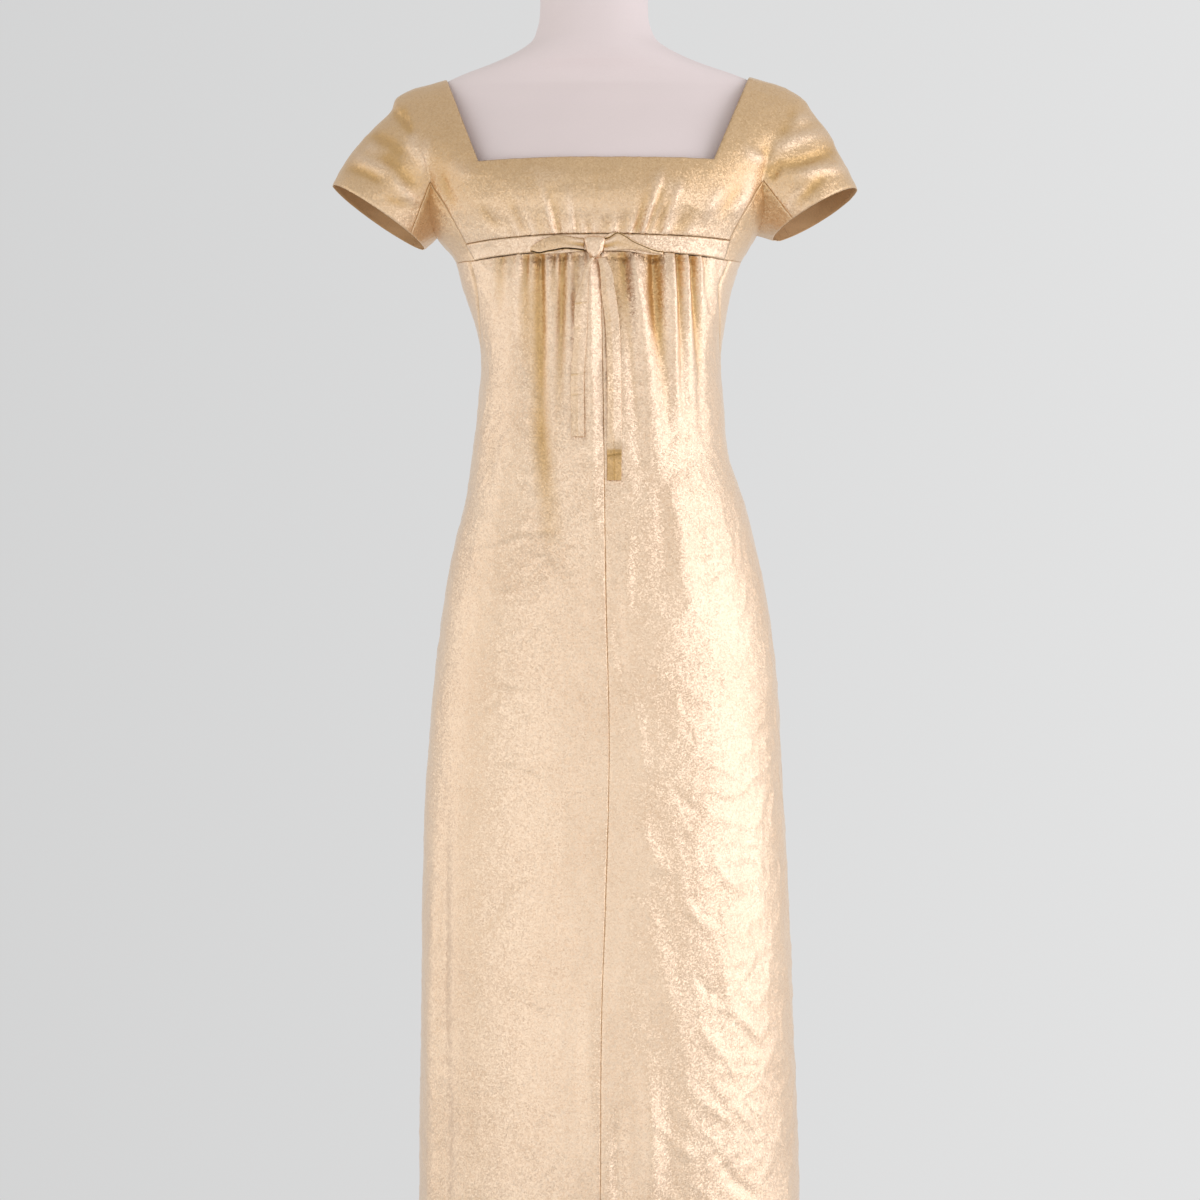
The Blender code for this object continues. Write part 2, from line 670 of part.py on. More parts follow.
def skirt_grid(side):
    """A front skirt panel: rows from the band to the hem, columns from the centre seam to the side."""
    place = SIDES[side]
    heights = side_heights(side)
    shares = np.linspace(0, 1, SKIRT_COLUMNS + 1)
    band_end = FRONT_SEAMS[side].at(heights[0], "out")
    grid = []
    for row, height in enumerate(heights):
        down = SKIRT_ROWS[row]
        centre_height = mix(BAND_BOTTOM, HEM, down)
        seam = CENTRE_SEAM.at(centre_height, "across")
        middle, _ = middle_and_half(centre_height)
        seam_angle = angle_at(seam, centre_height, -1) * np.sign(seam - middle)
        side_turn = place["sign"] * side_angle(side, height)
        angles = mix(seam_angle, side_turn, shares)
        out = np.abs(ring_point(angles, centre_height)[:, 0])
        rise = np.clip(out / min(band_end, out[-1]), 0, 1) ** 2
        grid.append(ring_point(angles, mix(centre_height, height, rise)))
    return np.stack(grid)


def underarm_grid(side):
    """A gusset: rows from the cuff over the armpit's fold to its seams with the body, columns from
    front to back. Both seams with the body end in its lower corner, and both tips are single points."""
    place = SIDES[side]
    tip_height = place["gusset_tip"][1]
    front_rows = seam_heights(side)
    front = angle_at(place["sign"] * FRONT_SEAMS[side].at(front_rows, "out"), front_rows, -1)
    back, back_rows = back_seam(side)
    columns = len(front) + len(back)
    shares = np.linspace(0, 1, columns)
    dip = tip_height - place["armpit_height"]
    fold_heights = tip_height - dip * np.sin(math.pi * shares)
    fold_angles = mix(front[0], back[0], shares)
    fold = ring_point(place["sign"] * fold_angles, fold_heights)
    turns = mix(place["seam_angle"], 2 * math.pi - place["seam_angle"], shares)
    facing = np.where(turns < math.pi, -1, 1)
    folded = np.where(turns < math.pi, turns, 2 * math.pi - turns)
    cuff = np.stack([cuff_point(side, f, t) for f, t in zip(facing, folded)])
    rows = [mix(fold, cuff, share) for share in np.linspace(1, 0, SLEEVE_COLUMNS + 1)]
    edge_angles = np.concatenate([front, back[::-1]])
    edge_heights = np.concatenate([front_rows, back_rows[::-1]])
    for down in np.linspace(0, 1, UNDERARM_ROWS + 1)[1:]:
        angles = mix(fold_angles, edge_angles, down)
        rows.append(ring_point(place["sign"] * angles, mix(fold_heights, edge_heights, down)))
    return np.stack(rows)


def back_seam(side):
    """Angle and height of the gusset's back seam on each row from its tip to its lower end."""
    place = SIDES[side]
    tip_out, tip_height = place["gusset_tip"]
    end_height = place["band_end_bottom"]
    rows = GUSSET_BACK.rows[:, 0]
    start = angle_at(place["sign"] * tip_out, tip_height, 1)
    end = angle_at(place["sign"] * FRONT_SEAMS[side].at(end_height, "out"), end_height, -1) + GUSSET_END
    angles = mix(start, end, GUSSET_BACK.at(rows, "turn"))
    return angles, mix(tip_height, end_height, GUSSET_BACK.at(rows, "drop"))


def back_grid(side):
    """A back panel: rows from the shoulder seam to the hem, columns from the cuff to centre back."""
    place = SIDES[side]
    tip_row = STRAP_ROWS + YOKE_ROWS
    seam_angles, seam_rows = back_seam(side)
    lower = side_heights(side)[1:]
    outer_heights = np.concatenate([seam_rows[1:], lower])
    outer_angles = np.concatenate([seam_angles[1:], side_angle(side, lower)])
    even = np.linspace(seam_rows[0], seam_rows[-1], len(seam_rows))
    centre_heights = np.concatenate([even[1:], lower])
    rows = tip_row + 1 + len(outer_heights)
    inner_at = SLEEVE_COLUMNS + STRAP_COLUMNS
    columns = inner_at + BACK_COLUMNS
    points = np.zeros((rows, columns + 1, 3))
    keep = np.zeros((rows - 1, columns), bool)
    points[:tip_row + 1, :SLEEVE_COLUMNS + 1] = sleeve_block(side, 1)
    points[:tip_row + 1, SLEEVE_COLUMNS:inner_at + 1] = strap_block(side, 1)
    shares = np.linspace(0, 1, BACK_COLUMNS + 1)
    for row in range(STRAP_ROWS, tip_row + 1):
        edge = points[row, inner_at]
        across = mix(edge[0], middle_and_half(edge[2])[0], shares)
        height = np.full_like(across, edge[2])
        points[row, inner_at:] = np.stack([across, depth_at(across, height, 1), height], axis=-1)
    tip = points[tip_row, SLEEVE_COLUMNS:]
    tip_angles = angle_at(tip[:, 0], tip[:, 2], 1)
    spread = (tip_angles - tip_angles[0]) / (tip_angles[-1] - tip_angles[0])
    for number, height in enumerate(outer_heights):
        angles = place["sign"] * mix(outer_angles[number], math.pi, spread)
        level = mix(height, centre_heights[number], spread**1.5)
        points[tip_row + 1 + number, SLEEVE_COLUMNS:] = ring_point(angles, level)
    keep[:tip_row, :inner_at] = True
    keep[STRAP_ROWS:, SLEEVE_COLUMNS:] = True
    return points, keep


def gathers_at(gathers, across, away):
    """Depth of the gathers at a distance from the band: round troughs that widen and fade out."""
    depths = np.zeros(np.broadcast(across, away).shape)
    for start, end, length, depth, width in gathers.rows:
        share = np.clip(away / length, 0, 1)
        fade = (1 - share) ** 1.2 * (1 + 0.6 * share)
        off = (across - mix(start, end, share)) / (width * (1 + share))
        depths += depth * fade * np.exp(-off**2)
    return depths


def skirt_lift(points):
    """How far the front skirt stands out under the band, fading to nothing at the side seams."""
    across = points[..., 0]
    drop = np.clip(BAND_BOTTOM - points[..., 2], 0, None)
    swell = SWELL * np.clip(drop / SWELL_START, 0, 1) * np.exp(-drop / SWELL_LENGTH)
    ridges = gathers_at(SKIRT_RIDGES, across, drop) * np.clip(drop / RIDGE_START, 0, 1)
    side = np.clip((GATHERED_HALF - np.abs(across)) / GATHER_EASE, 0, 1)
    front = points[..., 1] < MIDDLE_Y
    return (swell + ridges - gathers_at(SKIRT_TROUGHS, across, drop)) * side * front


def bodice_lift(points):
    """Short gathers of the front bodice just above the band."""
    rise = np.clip(points[..., 2] - BAND_TOP, 0, None)
    return -gathers_at(BODICE_TROUGHS, points[..., 0], rise) * (points[..., 1] < MIDDLE_Y)


def front_face(across, height):
    """The y of the gown's outer face at the front: bodice, band or skirt."""
    across, height = np.broadcast_arrays(np.asarray(across, float), np.asarray(height, float))
    points = np.stack([across, depth_at(across, height, -1), height], axis=-1)
    lift = np.where(height < BAND_BOTTOM, np.maximum(skirt_lift(points), 0), BAND_RISE)
    return points[..., 1] - lift


def grid_faces(rows, columns, keep=None, flip=False, strides=None):
    """Faces between rows of points; a row may use every second or fourth column of the row above."""
    faces = []
    strides = strides or [1] * rows
    for row in range(rows - 1):
        above = strides[row]
        below = strides[row + 1]
        for column in range(0, columns - 1, below):
            if keep is not None and not keep[row, column]:
                continue
            top = [row * columns + c for c in range(column + below, column - 1, -above)]
            face = [(row + 1) * columns + column, (row + 1) * columns + column + below] + top
            faces.append(face[::-1] if flip else face)
    return faces


def used_points(points, faces):
    """Drops the grid's empty places, and makes points in one place one point."""
    flat = points.reshape(-1, 3)
    numbers = {}
    kept = []
    shared = {}
    for old in sorted({corner for face in faces for corner in face}):
        key = tuple(np.round(flat[old], 6))
        if key not in numbers:
            numbers[key] = len(kept)
            kept.append(flat[old])
        shared[old] = numbers[key]
    merged = []
    for face in faces:
        corners = list(dict.fromkeys(shared[corner] for corner in face))
        if len(corners) > 2:
            merged.append(corners)
    return np.array(kept), merged


def face_normals(points, faces):
    """The area-weighted normal at each point."""
    normals = np.zeros_like(points)
    for face in faces:
        corners = points[face]
        normal = np.cross(corners, np.roll(corners, -1, axis=0)).sum(axis=0)
        normals[face] += normal
    return normals


def shared_normals(panels):
    """Normals of all panels together, so that two panels agree along their seam."""
    places = np.concatenate([points for points, _ in panels.values()])
    normals = np.concatenate([face_normals(points, faces) for points, faces in panels.values()])
    tree = KDTree(len(places))
    for number, place in enumerate(places):
        tree.insert(place, number)
    tree.balance()
    summed = np.array([
        sum(normals[number] for _, number, _ in tree.find_range(place, SAME_PLACE)) for place in places
    ])
    from_band = np.abs(places[:, 2] - (BAND_TOP + BAND_BOTTOM) / 2)
    level = np.clip(from_band / LEVEL_HEIGHT - LEVEL_START, 0, 1)
    summed[:, 2] *= np.where(places[:, 1] < FRONT_ONLY, level, 1)
    summed /= np.linalg.norm(summed, axis=1)[:, None]
    ends = np.cumsum([len(points) for points, _ in panels.values()])[:-1]
    return dict(zip(panels, np.split(summed, ends)))


def open_edges(faces):
    """Edges that only one face has, in that face's direction."""
    edges = set()
    for face in faces:
        edges.update(zip(face, face[1:] + face[:1]))
    return [(a, b) for a, b in sorted(edges) if (b, a) not in edges]


def drawn_in(points, faces, normals, distance):
    """Moves a panel's edges inwards within the cloth, so that it clears its neighbours."""
    inward = {}
    for start, end in open_edges(faces):
        normal = normals[start] + normals[end]
        direction = np.cross(normal, points[end] - points[start])
        direction = direction / np.linalg.norm(direction)
        inward.setdefault(start, []).append(direction)
        inward.setdefault(end, []).append(direction)
    moved = points.copy()
    for corner, (first, second) in inward.items():
        moved[corner] += distance * (first + second) / max(1 + first @ second, SHARPEST_CORNER)
    return moved


def wall(name, points, faces, normals, lift, thickness, look, draw_in=SEAM_GAP / 2):
    """A panel of cloth: outer points moved along the normals, inner points a wall below them, and the rim.

    The rim's faces are split the same way on both sides of a seam, so that twisted rims stay apart.
    """
    outer = drawn_in(points, faces, normals, draw_in) + normals * np.reshape(lift, (-1, 1))
    inner = outer - normals * thickness
    count = len(outer)
    inner_faces = [[corner + count for corner in face[::-1]] for face in faces]
    rim = []
    for a, b in open_edges(faces):
        if tuple(np.round(points[a][::-1], 5)) < tuple(np.round(points[b][::-1], 5)):
            rim += [[b, a, a + count], [b, a + count, b + count]]
        else:
            rim += [[b, a, b + count], [a, a + count, b + count]]
    return new_object(name, np.concatenate([outer, inner]), faces + inner_faces + rim, look)


def build_panels():
    """All panels of the gown, cut from the base surface."""
    bodice, bodice_keep = front_grid()
    panels = {"front_bodice": used_points(bodice, grid_faces(*bodice.shape[:2], bodice_keep))}
    band = band_grid()
    panels["front_band"] = used_points(band, grid_faces(*band.shape[:2]))
    rows = len(SKIRT_ROWS)
    strides = [1] * (FINE_SKIRT_ROWS + 1) + [2] * (MIDDLE_SKIRT_ROWS - FINE_SKIRT_ROWS)
    strides += [4] * (rows - len(strides))
    for side, place in SIDES.items():
        to_right = place["sign"] > 0
        skirt = skirt_grid(side)
        faces = grid_faces(*skirt.shape[:2], flip=not to_right, strides=strides)
        panels["front_skirt_" + side] = used_points(skirt, faces)
        back, keep = back_grid(side)
        panels["back_" + side] = used_points(back, grid_faces(*back.shape[:2], keep, flip=not to_right))
        under = underarm_grid(side)
        panels["gusset_" + side] = used_points(under, grid_faces(*under.shape[:2], flip=not to_right))
    normals = shared_normals(panels)
    for name, (points, faces) in panels.items():
        lift = np.zeros(len(points))
        if name == "front_bodice":
            lift = bodice_lift(points)
        elif name == "front_band":
            lift = np.full(len(points), BAND_RISE)
        elif name.startswith("front_skirt"):
            lift = skirt_lift(points)
        wall(name, points, faces, normals[name], lift, CLOTH, GOLD)


def strip(name, line, across, thickness, look):
    """A ribbon: a line of middle points, and at each one the vector from its left to its right edge."""
    shares = np.array([-0.5, 0, 0.5])[None, :, None]
    points = line[:, None, :] + across[:, None, :] * shares
    rows, columns = points.shape[:2]
    flat, faces = used_points(points, grid_faces(rows, columns))
    normals = face_normals(flat, faces)
    normals = normals / np.linalg.norm(normals, axis=1)[:, None]
    return wall(name, flat, faces, normals, np.zeros(len(flat)), thickness, look, draw_in=0)


def loop_path(length):
    """Distance from the knot and lift off the band, out along the back layer and home along the front.

    The back layer is straight, the fold is a half circle, and the front layer puffs out by a sine.
    """
    reach = length - LOOP_RADIUS
    back = np.linspace(0, reach, 6)
    turn = np.radians(np.linspace(-90, 90, 7)[1:-1])
    front = LOOP_RADIUS + LOOP_PUFF * np.sin(math.pi * back / reach)
    along = np.concatenate([back, reach + LOOP_RADIUS * np.cos(turn), back[::-1]])
    lift = np.concatenate([-LOOP_RADIUS + 0 * back, LOOP_RADIUS * np.sin(turn), front[::-1]])
    return along, lift + LOOP_RADIUS


def seat_over(across, height, half):
    """The foremost of the gown's face over a stretch of heights, for a ribbon that lies over it."""
    steps = half * np.linspace(-1, 1, 9)[:, None]
    return front_face(across, height + steps).min(axis=0) - BOW_SEAT


def bow_loop(side):
    """A flat loop of ribbon, folded back on itself at its outer end."""
    loop = LOOPS[side]
    sign = SIDES[side]["sign"]
    along, lift = loop_path(loop["length"])
    root = KNOT["half_width"] * (1 - KNOT["taper"] / 2) + 2 * SEAM_GAP
    across = KNOT["across"] + sign * (root + along)
    share = along / loop["length"]
    height = mix(*loop["heights"], share**2)
    broad = mix(*loop["widths"], share)
    seat = seat_over(across, height, broad / 2)
    line = np.stack([across, seat - LOOP_END_LIFT * share - lift, height], axis=-1)
    width = np.zeros_like(line)
    width[:, 2] = -sign * broad
    strip("bow_loop_" + side, line, width, RIBBON, GOLD_RIBBON)


def bow_knot():
    """The knot, a soft block that narrows to its lower end."""
    turns = np.linspace(0, 2 * math.pi, 17)[:-1]
    tiers = np.radians(np.linspace(-KNOT_LAST_TIER, KNOT_LAST_TIER, 9))
    tier, turn = np.meshgrid(tiers, turns, indexing="ij")

    def rounded(value):
        return np.sign(value) * np.abs(value) ** KNOT_ROUNDNESS

    half_width = KNOT["half_width"] * (1 + KNOT["taper"] * (np.sin(tier) - 1) / 2)
    across = KNOT["across"] + half_width * rounded(np.cos(tier)) * rounded(np.cos(turn))
    seat = seat_over(np.array([KNOT["across"]]), KNOT["height"], KNOT["half_height"] / 2)
    middle = seat - KNOT["half_depth"]
    depth = middle + KNOT["half_depth"] * rounded(np.cos(tier)) * rounded(np.sin(turn))
    height = KNOT["height"] + KNOT["half_height"] * rounded(np.sin(tier))
    ring_stack("bow_knot", np.stack([across, depth, height], axis=-1), GOLD_RIBBON)


def ring_stack(name, rings, look):
    """A closed solid through a stack of rings from low to high, with flat ends."""
    levels, count = rings.shape[:2]
    faces = []
    for level in range(levels - 1):
        for place in range(count):
            after = (place + 1) % count
            low = level * count
            faces.append([low + place, low + after, low + count + after, low + count + place])
    faces.append(list(range(count))[::-1])
    faces.append(list(range((levels - 1) * count, levels * count)))
    return new_object(name, rings.reshape(-1, 3), faces, look)


def bow_tail(side):
    """A flat ribbon hanging from the knot, just clear of the gathers, turning a little on its way."""
    path = TAILS[side]
    heights = np.linspace(path.rows[-1, 0], path.rows[0, 0], TAIL_ROWS + 1)
    across = path.at(heights, "across")
    turn = np.radians(path.at(heights, "turn"))
    broad = path.at(heights, "width")
    steps = broad * np.linspace(-0.5, 0.5, 7)[:, None]
    clear = front_face(across + steps * np.cos(turn), heights) - steps * np.sin(turn)
    depth = clear.min(axis=0) - path.at(heights, "lift")
    line = np.stack([across, depth, heights], axis=-1)
    width = broad[:, None] * np.stack([np.cos(turn), np.sin(turn), 0 * turn], axis=-1)
    strip("bow_tail_" + side, line, width, RIBBON, GOLD_RIBBON)


def back_zip():
    """The tapes and coil of a concealed zip, one strip behind the centre-back seam."""
    heights = np.linspace(ZIP_TOP, ZIP_BOTTOM, ZIP_ROWS + 1)
    line = np.stack([0 * heights, depth_at(0.0, heights, 1), heights], axis=-1)
    line[:, 0] = middle_and_half(heights)[0]
    line[:, 1] -= CLOTH + ZIP_CLEARANCE
    width = np.zeros_like(line)
    width[:, 0] = -ZIP_WIDTH
    strip("back_zip", line, width, ZIP_THICKNESS, TAPE)


def form_body():
    """The torso and neck of the form, one smooth solid."""
    turns = np.linspace(0, 2 * math.pi, FORM_SIDES + 1)[:-1]
    power = 2 / FORM_SQUARENESS
    sine = np.sin(turns)
    cosine = np.cos(turns)
    sideways = np.sign(cosine) * np.abs(cosine) ** power
    inwards = np.sign(sine) * np.abs(sine) ** power
    rings = []
    for height in FORM_HEIGHTS:
        across = FORM.at(height, "shift") + FORM.at(height, "half") * sideways
        reach = np.where(sine < 0, FORM.at(height, "front"), FORM.at(height, "back"))
        depth = MIDDLE_Y + reach * inwards
        rings.append(np.stack([across, depth, np.full_like(across, height)], axis=-1))
    ring_stack("form_body", np.stack(rings), FORM_CLOTH)


def turned(name, profile, look):
    """A turned solid round the z axis from (radius, height) pairs, low to high."""
    turns = np.linspace(0, 2 * math.pi, ROUND_SIDES + 1)[:-1]
    rings = []
    for radius, height in profile:
        level = np.full_like(turns, height)
        rings.append(np.stack([radius * np.cos(turns), radius * np.sin(turns), level], axis=-1))
    ring_stack(name, np.stack(rings), look)


def stand():
    """A round base plate with a collar, and the pole up to the form's underside."""
    collar_top = BASE_HEIGHT + COLLAR_HEIGHT
    turned("stand_base", (
        (BASE_RADIUS, 0),
        (BASE_RADIUS, BASE_HEIGHT - BASE_BEVEL),
        (BASE_RADIUS - BASE_BEVEL, BASE_HEIGHT),
        (COLLAR_RADIUS, BASE_HEIGHT + BASE_BEVEL / 4),
        (COLLAR_RADIUS - BASE_BEVEL, collar_top),
    ), DARK_METAL)
    turned("stand_pole", (
        (POLE_RADIUS, collar_top + SEAM_GAP),
        (POLE_RADIUS, FORM_HEIGHTS[0] - SEAM_GAP),
    ), DARK_METAL)


def main():
    clear_scene()
    build_panels()
    for side in SIDES:
        bow_loop(side)
        bow_tail(side)
    bow_knot()
    back_zip()
    form_body()
    stand()


main()
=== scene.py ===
"""Looks of a gold evening gown with an empire line, standing on a limbless dress form.

The file is laid out as a Blender add-on and run as a script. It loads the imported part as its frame
and dresses it: each panel of the gown is worked out again on a finer grid from the sizes of the cut,
then gathered, creased and crinkled along its normals. Metres, +Z up, front at -Y, left is -X. The
rows of the tables are in millimetres.
"""

import math
from functools import cache

import bmesh
import bpy
import numpy as np
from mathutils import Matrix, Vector


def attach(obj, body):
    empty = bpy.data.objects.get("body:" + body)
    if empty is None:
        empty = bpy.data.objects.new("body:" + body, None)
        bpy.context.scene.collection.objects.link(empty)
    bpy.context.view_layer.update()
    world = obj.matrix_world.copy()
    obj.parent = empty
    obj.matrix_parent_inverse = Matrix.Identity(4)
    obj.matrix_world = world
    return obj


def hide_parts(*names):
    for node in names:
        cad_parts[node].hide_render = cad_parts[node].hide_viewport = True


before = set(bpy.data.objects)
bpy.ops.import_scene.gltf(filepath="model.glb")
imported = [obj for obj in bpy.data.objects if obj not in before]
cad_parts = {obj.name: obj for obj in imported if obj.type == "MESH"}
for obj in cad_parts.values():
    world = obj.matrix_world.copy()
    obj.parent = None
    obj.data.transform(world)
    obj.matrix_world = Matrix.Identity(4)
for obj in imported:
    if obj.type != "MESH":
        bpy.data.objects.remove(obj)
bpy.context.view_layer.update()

bl_info = {
    "name": "Gold Evening Gown",
    "version": (1, 0, 0),
    "blender": (4, 5, 0),
    "location": "View3D > Sidebar > Gown",
    "description": "Dresses the panels of a gold evening gown and its form on the packed part",
    "category": "Object",
}

MM = 0.001
BODY = "root"

# Cloth
MIDDLE_Y = 6 * MM
SQUARENESS = 2.3
ARCH_HEIGHT = 95 * MM
ARMHOLE_EASE = 0.86
YOKE_DIP = 0.8
CUFF_LEVEL = 0.5
CUFF_DEPTH = 62 * MM
STRAP_LINE = 0.100
LEVEL_HEIGHT = 30 * MM
LEVEL_START = 0.35
FRONT_ONLY = -30 * MM
BACK_RISE = 1.5

# Heights
HEM = 0.045
BAND_TOP = 1.2312
BAND_BOTTOM = 1.2149
NECK_FRONT = 1.3105
BACK_CORNER = (0.120, 1.345)

# Grid sizes of the panels
SLEEVE_COLUMNS = 46
STRAP_COLUMNS = 20
FRONT_COLUMNS = 64
BACK_COLUMNS = 44
SKIRT_COLUMNS = 120
STRAP_ROWS = 60
YOKE_ROWS = 12
BUST_ROWS = 40
BAND_ROWS = 10
UNDERARM_ROWS = 24
SKIRT_ROWS = 350
SKIRT_ROW_EASE = 1.3
CLOSE_STEPS = (0, 0.3, 0.75, 1.4)


def mix(first, second, share):
    return first * (1 - share) + second * share


def smooth(value):
    """An S-curve from 0 to 1: three times the square less twice the cube."""
    value = np.clip(value, 0, 1)
    return value * value * (3 - 2 * value)


def hermite(first, last, first_slope, last_slope, part):
    """A cubic from first to last, with the given slopes at its two ends."""
    rest = 1 - part
    return (
        first * (1 + 2 * part) * rest**2
        + first_slope * part * rest**2
        + last * part**2 * (3 - 2 * part)
        - last_slope * part**2 * rest
    )


class Table:
    """A short table with named columns in millimetres, or in units of their own."""

    def __init__(self, names, *rows, unit=MM):
        self.names = names.split()
        self.rows = np.array(rows, float) * unit

    def at(self, key, name):
        """Catmull-Rom curve through the column, held at its end values past both ends."""
        knots = self.rows[:, 0]
        values = self.rows[:, self.names.index(name)]
        slopes = np.gradient(values, knots)
        key = np.clip(np.asarray(key, float), knots[0], knots[-1])
        low = np.clip(np.searchsorted(knots, key, side="right") - 1, 0, len(knots) - 2)
        span = knots[low + 1] - knots[low]
        part = (key - knots[low]) / span
        return hermite(values[low], values[low + 1], slopes[low] * span, slopes[low + 1] * span, part)


# Half widths of the gown to the left and right, and its reach to the front and back of the middle plane
GOWN = Table(
    "height left right front back",
    (45, 190, 217, 156, 144),
    (230, 186.5, 212, 152, 137),
    (440, 184, 205, 145, 127),
    (650, 180, 195, 138, 118),
    (820, 165, 183.5, 133, 113),
    (880, 156.5, 174, 131, 110),
    (922, 148, 164, 129, 105),
    (964, 137.5, 153, 126.5, 97),
    (1006, 131, 139, 123.5, 87),
    (1060, 125, 133, 119.5, 74),
    (1120, 121.5, 129.5, 116.5, 62),
    (1154, 129.5, 134.8, 115.5, 63),
    (1186, 141, 142, 113.5, 70),
    (1217.5, 150, 153, 109.5, 79),
    (1238.8, 167, 165.4, 113, 85),
    (1265, 181, 180, 120.5, 90),
    (1290, 190, 189, 116.5, 93),
    (1320, 213, 212, 102, 93.5),
    (1345, 236, 236, 89, 89),
    (1405, 262, 262, 72, 74),
)

# The places where each half of the gown turns, as seen from the front: (out from the middle, height)
SIDES = {
    "left": {
        "sign": -1,
        "strap_top": (0.158, 1.4055),
        "front_corner": (0.1216, 1.3081),
        "armhole_top": (0.1916, 1.396),
        "gusset_tip": (0.1727, 1.2903),
        "armpit_height": 1.240,
        "cuff_tip": (0.278, 1.294),
        "cuff_bottom": (0.1817, 1.2286),
        "cuff_tilt": 3 * MM,
        "seam_angle": math.radians(137),
        "band_end_top": 1.2255,
        "band_end_bottom": 1.209,
    },
    "right": {
        "sign": 1,
        "strap_top": (0.160, 1.4085),
        "front_corner": (0.1198, 1.3101),
        "armhole_top": (0.198, 1.397),
        "gusset_tip": (0.1717, 1.2922),
        "armpit_height": 1.243,
        "cuff_tip": (0.2738, 1.2897),
        "cuff_bottom": (0.1853, 1.239),
        "cuff_tilt": 5 * MM,
        "seam_angle": math.radians(124),
        "band_end_top": 1.2295,
        "band_end_bottom": 1.210,
    },
}

# The outline of each sleeve from the shoulder to the cuff's tip
SLEEVE_TOPS = {
    "left": Table(
        "share out height",
        (0, 191.6, 1396),
        (0.16, 210.6, 1385.5),
        (0.30, 215.8, 1372.9),
        (0.50, 234.8, 1353.9),
        (0.78, 262.2, 1322.3),
        (1, 278, 1294),
        unit=(1, MM, MM),
    ),
    "right": Table(
        "share out height",
        (0, 198, 1397),
        (0.16, 214.8, 1386.5),
        (0.36, 228.5, 1368.5),
        (0.58, 244, 1347.9),
        (0.80, 257, 1322.3),
        (1, 273.8, 1289.7),
        unit=(1, MM, MM),
    ),
}

# The seam from each gusset's front tip down to the end of the band, then the side seam in degrees
FRONT_SEAMS = {
    "left": Table("height out", (1209, 125.9), (1225.5, 135.2), (1254.4, 150.7), (1290.3, 172.7)),
    "right": Table("height out", (1210, 131.7), (1229.5, 137.4), (1256, 150.7), (1292.2, 171.7)),
}
SIDE_SEAM = Table(
    "height angle",
    (45, 92),
    (900, 91),
    (1050, 90),
    (1105, 85),
    (1145, 71),
    (1185, 60),
    (1210, 59),
    unit=(MM, 1),
)
SIDE_SEAM_EASE = 30 * MM
GUSSET_END = math.radians(4)

# The gusset's back seam sweeps under the armpit: shares of its turn and of its drop on each row
GUSSET_BACK = Table(
    "row turn drop",
    (0, 0, 0),
    (1, 0.07, 0.40),
    (2, 0.18, 0.70),
    (3, 0.34, 0.88),
    (4, 0.60, 0.965),
    (5, 1, 1),
    unit=1,
)

# The centre-front seam of the skirt wanders a little
CENTRE_SEAM = Table(
    "height across",
    (45, 3),
    (280, 3.6),
    (460, 5.2),
    (540, 8.2),
    (720, 12.3),
    (860, 9.2),
    (1100, 6),
    (1215, 3.7),
)

# Gathers at the band: where each starts and where it fades out, how long, deep and wide it is
GATHER_NAMES = "start end length depth width"
SKIRT_TROUGHS = Table(
    GATHER_NAMES,
    (-111, -112, 60, 1.4, 5),
    (-98.3, -100, 90, 3.2, 5),
    (-86, -88, 70, 2, 4),
    (-73, -77, 140, 3.8, 5),
    (-59, -56, 260, 4.2, 9),
    (-44.6, -43, 90, 3.2, 4),
    (-33, -35, 170, 4, 5),
    (-23.5, -24, 80, 2.4, 4),
    (-13, -15, 100, 2.4, 4),
    (15, 19, 120, 2.6, 5),
    (26, 30, 80, 2.2, 4),
    (47, 56, 90, 2.4, 5),
    (60, 62, 120, 3.8, 5),
    (85, 90, 160, 4, 5),
    (98.5, 112, 160, 4, 5),
    (112, 117, 80, 2, 4),
)
SKIRT_RIDGES = Table(
    GATHER_NAMES,
    (-7, -3, 400, 1.8, 8),
    (37, 81, 360, 4.4, 7.5),
    (73, 96, 260, 2.6, 8),
)
BODICE_TROUGHS = Table(
    GATHER_NAMES,
    (-72, -90, 45, 1.8, 5),
    (-56, -64, 30, 1.2, 4),
    (-38.5, -52, 50, 2, 5),
    (-23, -28, 25, 1.3, 4),
    (-8, -10, 22, 1.2, 4),
    (10, 12, 22, 1.2, 4),
    (26, 33, 28, 1.3, 4),
    (42, 57, 50, 2, 5),
    (64, 79, 45, 1.8, 5),
    (79.5, 100, 35, 1.6, 5),
)
RIDGE_START = 30 * MM
SWELL = 2.2 * MM
SWELL_START = 12 * MM
SWELL_LENGTH = 0.25
GATHERED_HALF = 0.126
GATHER_EASE = 20 * MM
GATHER_FADE = 1.2
GATHER_HOLD = 0.6

